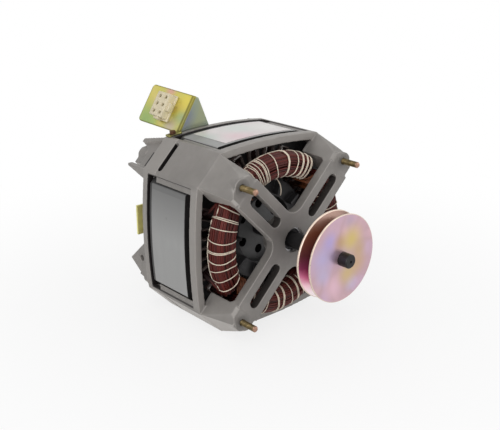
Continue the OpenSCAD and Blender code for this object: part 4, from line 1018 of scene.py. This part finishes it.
class MOTOR_OT_bolts(bpy.types.Operator):
    """Cuts threads on the four studs and chamfers their heads"""
    bl_idname = "motor.bolts"
    bl_label = "Through bolts"

    def execute(self, context):
        stud, head = self.stud(context.scene.motor_sizes.thread_pitch), self.head()
        bolts = Gathered()
        for x in (-BOLT_PLACE, BOLT_PLACE):
            for z in (-BOLT_PLACE, BOLT_PLACE):
                bolts.take(*lofted(x, z, stud))
                bolts.take(*lofted(x, z, head))
        new_piece("through_bolt_set", bolts.mesh("through_bolt_set", 50), [finish("stud_zinc", stud_plate)],
                  "stator", ["through_bolts"])
        return {"FINISHED"}

    @staticmethod
    def stud(pitch):
        """Rings of a stud: a chamfered end, the thread and the plain shank."""
        radius, root, end, thread_end, chamfer = mm(2.4, 1.85, 1.5, 4, 0.6)
        sides, steps = 18, 6
        rings = [(STUD_FRONT, [end] * sides)]
        for i in range(int((thread_end - STUD_FRONT - chamfer) / pitch * steps) + 1):
            waves = [(i / steps - k / sides) % 1 for k in range(sides)]
            rings.append((STUD_FRONT + chamfer + i * pitch / steps,
                          [root + (radius - root) * (1 - abs(2 * wave - 1)) ** 0.7 for wave in waves]))
        for station in (thread_end + 0.4 * MM, HEAD_BACK - HEAD_HEIGHT):
            rings.append((station, [radius] * sides))
        return rings

    @staticmethod
    def head():
        """Rings of a hexagon head with its corners turned down."""
        flat, sides, sixth = 4.6 * MM, 24, math.pi / 6
        base = HEAD_BACK - HEAD_HEIGHT
        rings = []
        for station, roundness, share in (
                (base, 0.0, 0.9), (base + 0.3 * MM, 0.0, 1.0), (HEAD_BACK - 0.7 * MM, 0.0, 1.0),
                (HEAD_BACK - 0.05 * MM, 1.0, 0.8), (HEAD_BACK - 0.25 * MM, 1.0, 0.55)):
            turns = [(2 * math.pi * k / sides + sixth) % (2 * sixth) - sixth for k in range(sides)]
            hexed = [flat * math.cos(sixth) / math.cos(turn) for turn in turns]
            rings.append((station, [share * (r + (flat - r) * roundness * 0.5) for r in hexed]))
        return rings


class MOTOR_OT_hub_trim(bpy.types.Operator):
    """Finishes the bearings, felts, retainers, seal and snap ring"""
    bl_idname = "motor.hub_trim"
    bl_label = "Hub trim"

    def execute(self, context):
        dress(plain("bronze"), "front_bearing", "rear_bearing")
        dress(plain("felt"), "front_oil_felt", "rear_oil_felt")
        dress(plain("bright_steel"), "front_retainer", "rear_retainer", "front_snap_ring")
        dress(plain("black_rubber"), "front_seal")
        return {"FINISHED"}


class MOTOR_OT_connector(bpy.types.Operator):
    """Builds the plated bracket, the connector block, its screw and its leads"""
    bl_idname = "motor.connector"
    bl_label = "Connector"

    def execute(self, context):
        sizes, colours = context.scene.motor_sizes, context.scene.motor_colours
        plate = finish("yellow_zinc", yellow_plate, colours.yellow_zinc)
        softened("connector_bracket", "_sheet", sizes.sheet_round, plate, rounds=3, keep=0.4)
        self.housing(plain("cream_nylon", colours.cream))
        dress(plain("pin_brass"), "connector_pins")
        dress(plain("brown_screw"), "bracket_screw")
        self.leads(disc(sizes.lead, 10))
        return {"FINISHED"}

    def housing(self, nylon):
        """A block with six round sockets, a lip on the sheet and two latch ramps."""
        shape = bmesh.new()
        for middle, size in (  # body, lip and the two ramps
                ((0, 0, 0.5), (19.8, 13.5, 17)), ((0, 0, 1), (22.2, 15.9, 2)),
                ((0, -7.6, 4.2), (7, 2.6, 5.2)), ((-10.6, 0, 4.2), (2.4, 5, 5.2))):
            u, v, w = mm(*middle)
            cube = bmesh.ops.create_cube(shape, size=1)["verts"]
            bmesh.ops.scale(shape, verts=cube, vec=mm(*size))
            bmesh.ops.translate(shape, verts=cube, vec=(PLUG_U + u, PLUG_V + v, w))
        bmesh.ops.bevel(shape, geom=shape.edges[:], offset=0.55 * MM, segments=2, affect="EDGES", profile=0.5)
        block = drafted("draft_block", self.mesh_of(shape, "connector_block"))
        cutters = bmesh.new()
        for i in (-1, 0, 1):
            for j in (-0.5, 0.5):
                for base, top, depth, middle in ((1.3, 1.3, 9, 7), (1.25, 1.8, 0.9, 8.75)):  # hole, chamfer
                    cone = bmesh.ops.create_cone(cutters, cap_ends=True, segments=20, radius1=base * MM,
                                                 radius2=top * MM, depth=depth * MM)["verts"]
                    spot = (PLUG_U + i * PIN_PITCH, PLUG_V + j * PIN_PITCH, middle * MM)
                    bmesh.ops.translate(cutters, verts=cone, vec=spot)
        tool = drafted("draft_sockets", self.mesh_of(cutters, "sockets"))
        cut = block.modifiers.new("sockets", "BOOLEAN")
        cut.object = tool
        cut.operation = "DIFFERENCE"
        cut.solver = "EXACT"
        cut.use_self = True
        made = worked(block, tool)
        made.transform(BRACKET_FRAME)
        made.set_sharp_from_angle(angle=math.radians(32))
        new_piece("connector_block", made, [nylon], "stator", ["connector_housing"])

    @staticmethod
    def mesh_of(shape, name):
        mesh = bpy.data.meshes.new(name)
        shape.to_mesh(mesh)
        shape.free()
        return mesh

    @staticmethod
    def leads(section):
        """Six coloured leads from the back of the block down into the rear of the windings."""
        for k, name in enumerate(LEADS):
            u, v = PLUG_U + (k % 3 - 1) * PIN_PITCH, PLUG_V + (-0.5 if k < 3 else 0.5) * PIN_PITCH
            end = np.array(mm(-6 + 5 * (k % 3), 110.8, 59.4))
            if k >= 3:
                end = end + mm(2.5, 1.6, 1.2)
            start, behind = (np.array(BRACKET_FRAME @ Vector((u, v, w))) for w in mm(-8.3, -22))
            path = bezier(start, behind, end + mm(0, 8, 14), end, 24)
            lead = Gathered()
            lead.take(*sweep(path, carried(path), section))
            new_piece("lead_" + name, lead.mesh("lead_" + name, 50), [plain("lead_" + name)], "stator",
                      ["motor_leads"] if k == 0 else [])


class MOTOR_OT_label(bpy.types.Operator):
    """Finishes the blank label on the stack"""
    bl_idname = "motor.label"
    bl_label = "Blank label"

    def execute(self, context):
        dress(finish("label_foil", label_foil, context.scene.motor_colours.label), "blank_label")
        return {"FINISHED"}


class MOTOR_OT_switchgear(bpy.types.Operator):
    """Finishes the switch, its bracket and lever and the thermal protector"""
    bl_idname = "motor.switchgear"
    bl_label = "Switchgear"

    def execute(self, context):
        dress(plain("pale_yellow_zinc"), "switch_bracket")
        dress(plain("phenolic"), "start_switch")
        dress(plain("black_phenolic"), "thermal_protector")
        dress(plain("bright_steel"), "switch_lever")
        return {"FINISHED"}


class MOTOR_OT_rotor(bpy.types.Operator):
    """Finishes the shaft, rotor core, end rings and governor"""
    bl_idname = "motor.rotor"
    bl_label = "Rotor and governor"

    def execute(self, context):
        colours = context.scene.motor_colours
        dress(plain("dark_steel", colours.dark_steel), "shaft")
        dress(finish("rotor_steel", rotor_steel), "rotor_core")
        dress(plain("ring_aluminium"), "front_end_ring", "rear_end_ring")
        dress(plain("bright_steel"), "governor_base", "governor_weight_right", "governor_weight_left")
        dress(plain("cream_nylon", colours.cream), "governor_collar")
        return {"FINISHED"}


class MOTOR_OT_pulley(bpy.types.Operator):
    """Turns the two pressed pulley halves with their rounded rims"""
    bl_idname = "motor.pulley"
    bl_label = "Pulley"
    rim_start, groove_root = mm(32.3, 20)

    def execute(self, context):
        plates = [finish("iridescent_zinc", pulley_plate, context.scene.motor_colours.lilac_zinc),
                  finish("groove_zinc", groove_plate), plain("rim_zinc")]
        bore, rim, rim_t, web, edge = mm(5.3, 33.15, 1.5, 1.8, 0.55)
        root, front, back = self.groove_root, PULLEY_FRONT, PULLEY_BACK
        outline = [(bore, front), (rim, front), (rim, front + rim_t), (root, GROOVE_MID), (bore, GROOVE_MID)]
        self.half("pulley_front_disc", outline, (edge, edge, 0), ["pulley_front_half"], plates)
        outline = [(bore, GROOVE_MID), (root, GROOVE_MID), (rim, back - rim_t), (rim, back),
                   (rim - web, back), (root - 1 * MM, GROOVE_MID + web), (bore, GROOVE_MID + web)]
        self.half("pulley_rear_disc", outline, (0, edge, edge, edge, edge), ["pulley_rear_half"], plates)
        dress(plain("bright_steel"), "pulley_hub")
        return {"FINISHED"}

    def half(self, name, outline, radii, replaced, plates):
        """One turned half, with its own plating on the face, in the groove and on the rim."""
        mesh = mesh_from(name, *turned(filleted(outline, radii), 128), 12)
        shape = bmesh.new()
        shape.from_mesh(mesh)
        bmesh.ops.recalc_face_normals(shape, faces=shape.faces)
        shape.to_mesh(mesh)
        shape.free()
        new_piece(name, mesh, plates, "rotor", replaced)
        for polygon in mesh.polygons:
            x, y, z = polygon.center
            reach, facing = math.hypot(x, z), polygon.normal.y
            if reach > self.rim_start:
                polygon.material_index = 2
            elif reach > self.groove_root and facing * (y - GROOVE_MID) < -1e-9 and abs(facing) < 0.97:
                polygon.material_index = 1


class MOTOR_OT_stage(bpy.types.Operator):
    """Makes the camera, the pale floor and the soft studio light"""
    bl_idname = "motor.stage"
    bl_label = "Stage"
    camera_turn = (-41.587, 19.549, 0.122)
    camera_spot = (-0.40097, -0.40117, 0.2210)
    lit_spot = Vector((0, 0.04, 0))
    lamps = (("key", (-0.95, -0.75, 0.85), 1.1, 9.0), ("low", (-0.9, -0.75, 0.1), 0.6, 2.8),
             ("top", (0.15, 0.25, 1.35), 1.3, 3.6), ("fill", (0.9, -1.0, 0.55), 0.9, 4.0))

    def execute(self, context):
        scene = context.scene
        scene.view_settings.view_transform = "Standard"
        self.camera(scene)
        self.floor(scene)
        self.world(scene)
        for name, spot, size, power in self.lamps:
            data = bpy.data.lights.new(name, "AREA")
            data.size = size
            data.energy = power
            lamp = bpy.data.objects.new(name, data)
            lamp.location = spot
            lamp.rotation_euler = (Vector(spot) - self.lit_spot).to_track_quat("Z", "Y").to_euler()
            scene.collection.objects.link(lamp)
        return {"FINISHED"}

    def camera(self, scene):
        azimuth, height, roll = (math.radians(a) for a in self.camera_turn)
        right = Vector((math.cos(azimuth), math.sin(azimuth), 0))
        back = Vector((math.sin(azimuth) * math.cos(height), -math.cos(azimuth) * math.cos(height),
                       math.sin(height)))
        data = bpy.data.cameras.new("camera")
        data.sensor_width = 36
        data.lens = 57.85
        data.clip_start = 0.01
        camera = bpy.data.objects.new("camera", data)
        turn = Matrix((right, back.cross(right), back)).transposed().to_4x4()
        camera.matrix_world = (Matrix.Translation(self.camera_spot) @ turn
                               @ Matrix.Rotation(roll, 4, "Z"))
        scene.collection.objects.link(camera)
        scene.camera = camera

    @staticmethod
    def floor(scene):
        side = 8.0
        low = CAD_BOX[0][2] - 0.2 * MM
        corners = [(-side, -side, low), (side, -side, low), (side, side, low), (-side, side, low)]
        mesh = mesh_from("floor", corners, [(0, 1, 2, 3)])
        mesh.materials.append(finish("floor_paint", floor_paint, scene.motor_colours.floor, low))
        floor = bpy.data.objects.new("floor", mesh)
        scene.collection.objects.link(floor)

    @staticmethod
    def world(scene):
        world = bpy.data.worlds.new("studio")
        scene.world = world
        world.use_nodes = True
        world.node_tree.nodes.clear()
        paint = Paint(world.node_tree)
        light, white = (paint.add("ShaderNodeBackground", {"Color": (1, 1, 1), "Strength": strength})
                        for strength in (0.3, 1.0))
        mix = paint.add("ShaderNodeMixShader", {
            0: paint.seen_rays(), 1: light.outputs[0], 2: white.outputs[0]})
        paint.add("ShaderNodeOutputWorld", {"Surface": mix.outputs[0]})


STEPS = (
    MOTOR_OT_stage, MOTOR_OT_end_shields, MOTOR_OT_stack, MOTOR_OT_main_windings, MOTOR_OT_start_windings,
    MOTOR_OT_bolts, MOTOR_OT_hub_trim, MOTOR_OT_connector, MOTOR_OT_label, MOTOR_OT_switchgear,
    MOTOR_OT_rotor, MOTOR_OT_pulley,
)


class MOTOR_PT_steps(bpy.types.Panel):
    """Lists the steps that dress the motor"""
    bl_idname = "MOTOR_PT_steps"
    bl_label = "Washing machine motor"
    bl_space_type = "VIEW_3D"
    bl_region_type = "UI"
    bl_category = "Motor"

    def draw(self, context):
        for step in STEPS:
            self.layout.operator(step.bl_idname)
        for group in (context.scene.motor_sizes, context.scene.motor_colours):
            for key in group.bl_rna.properties.keys():
                if key not in ("rna_type", "name"):
                    self.layout.prop(group, key)


CLASSES = (MotorSizes, MotorColours, *STEPS, MOTOR_PT_steps)


def register():
    for made in CLASSES:
        bpy.utils.register_class(made)
    bpy.types.Scene.motor_sizes = bpy.props.PointerProperty(type=MotorSizes)
    bpy.types.Scene.motor_colours = bpy.props.PointerProperty(type=MotorColours)


def unregister():
    del bpy.types.Scene.motor_sizes
    del bpy.types.Scene.motor_colours
    for made in reversed(CLASSES):
        bpy.utils.unregister_class(made)


def main():
    register()
    for step in STEPS:
        group, name = step.bl_idname.split(".")
        if getattr(getattr(bpy.ops, group), name)() != {"FINISHED"}:
            raise RuntimeError(step.bl_label + " did not finish")


if __name__ == "__main__":
    main()
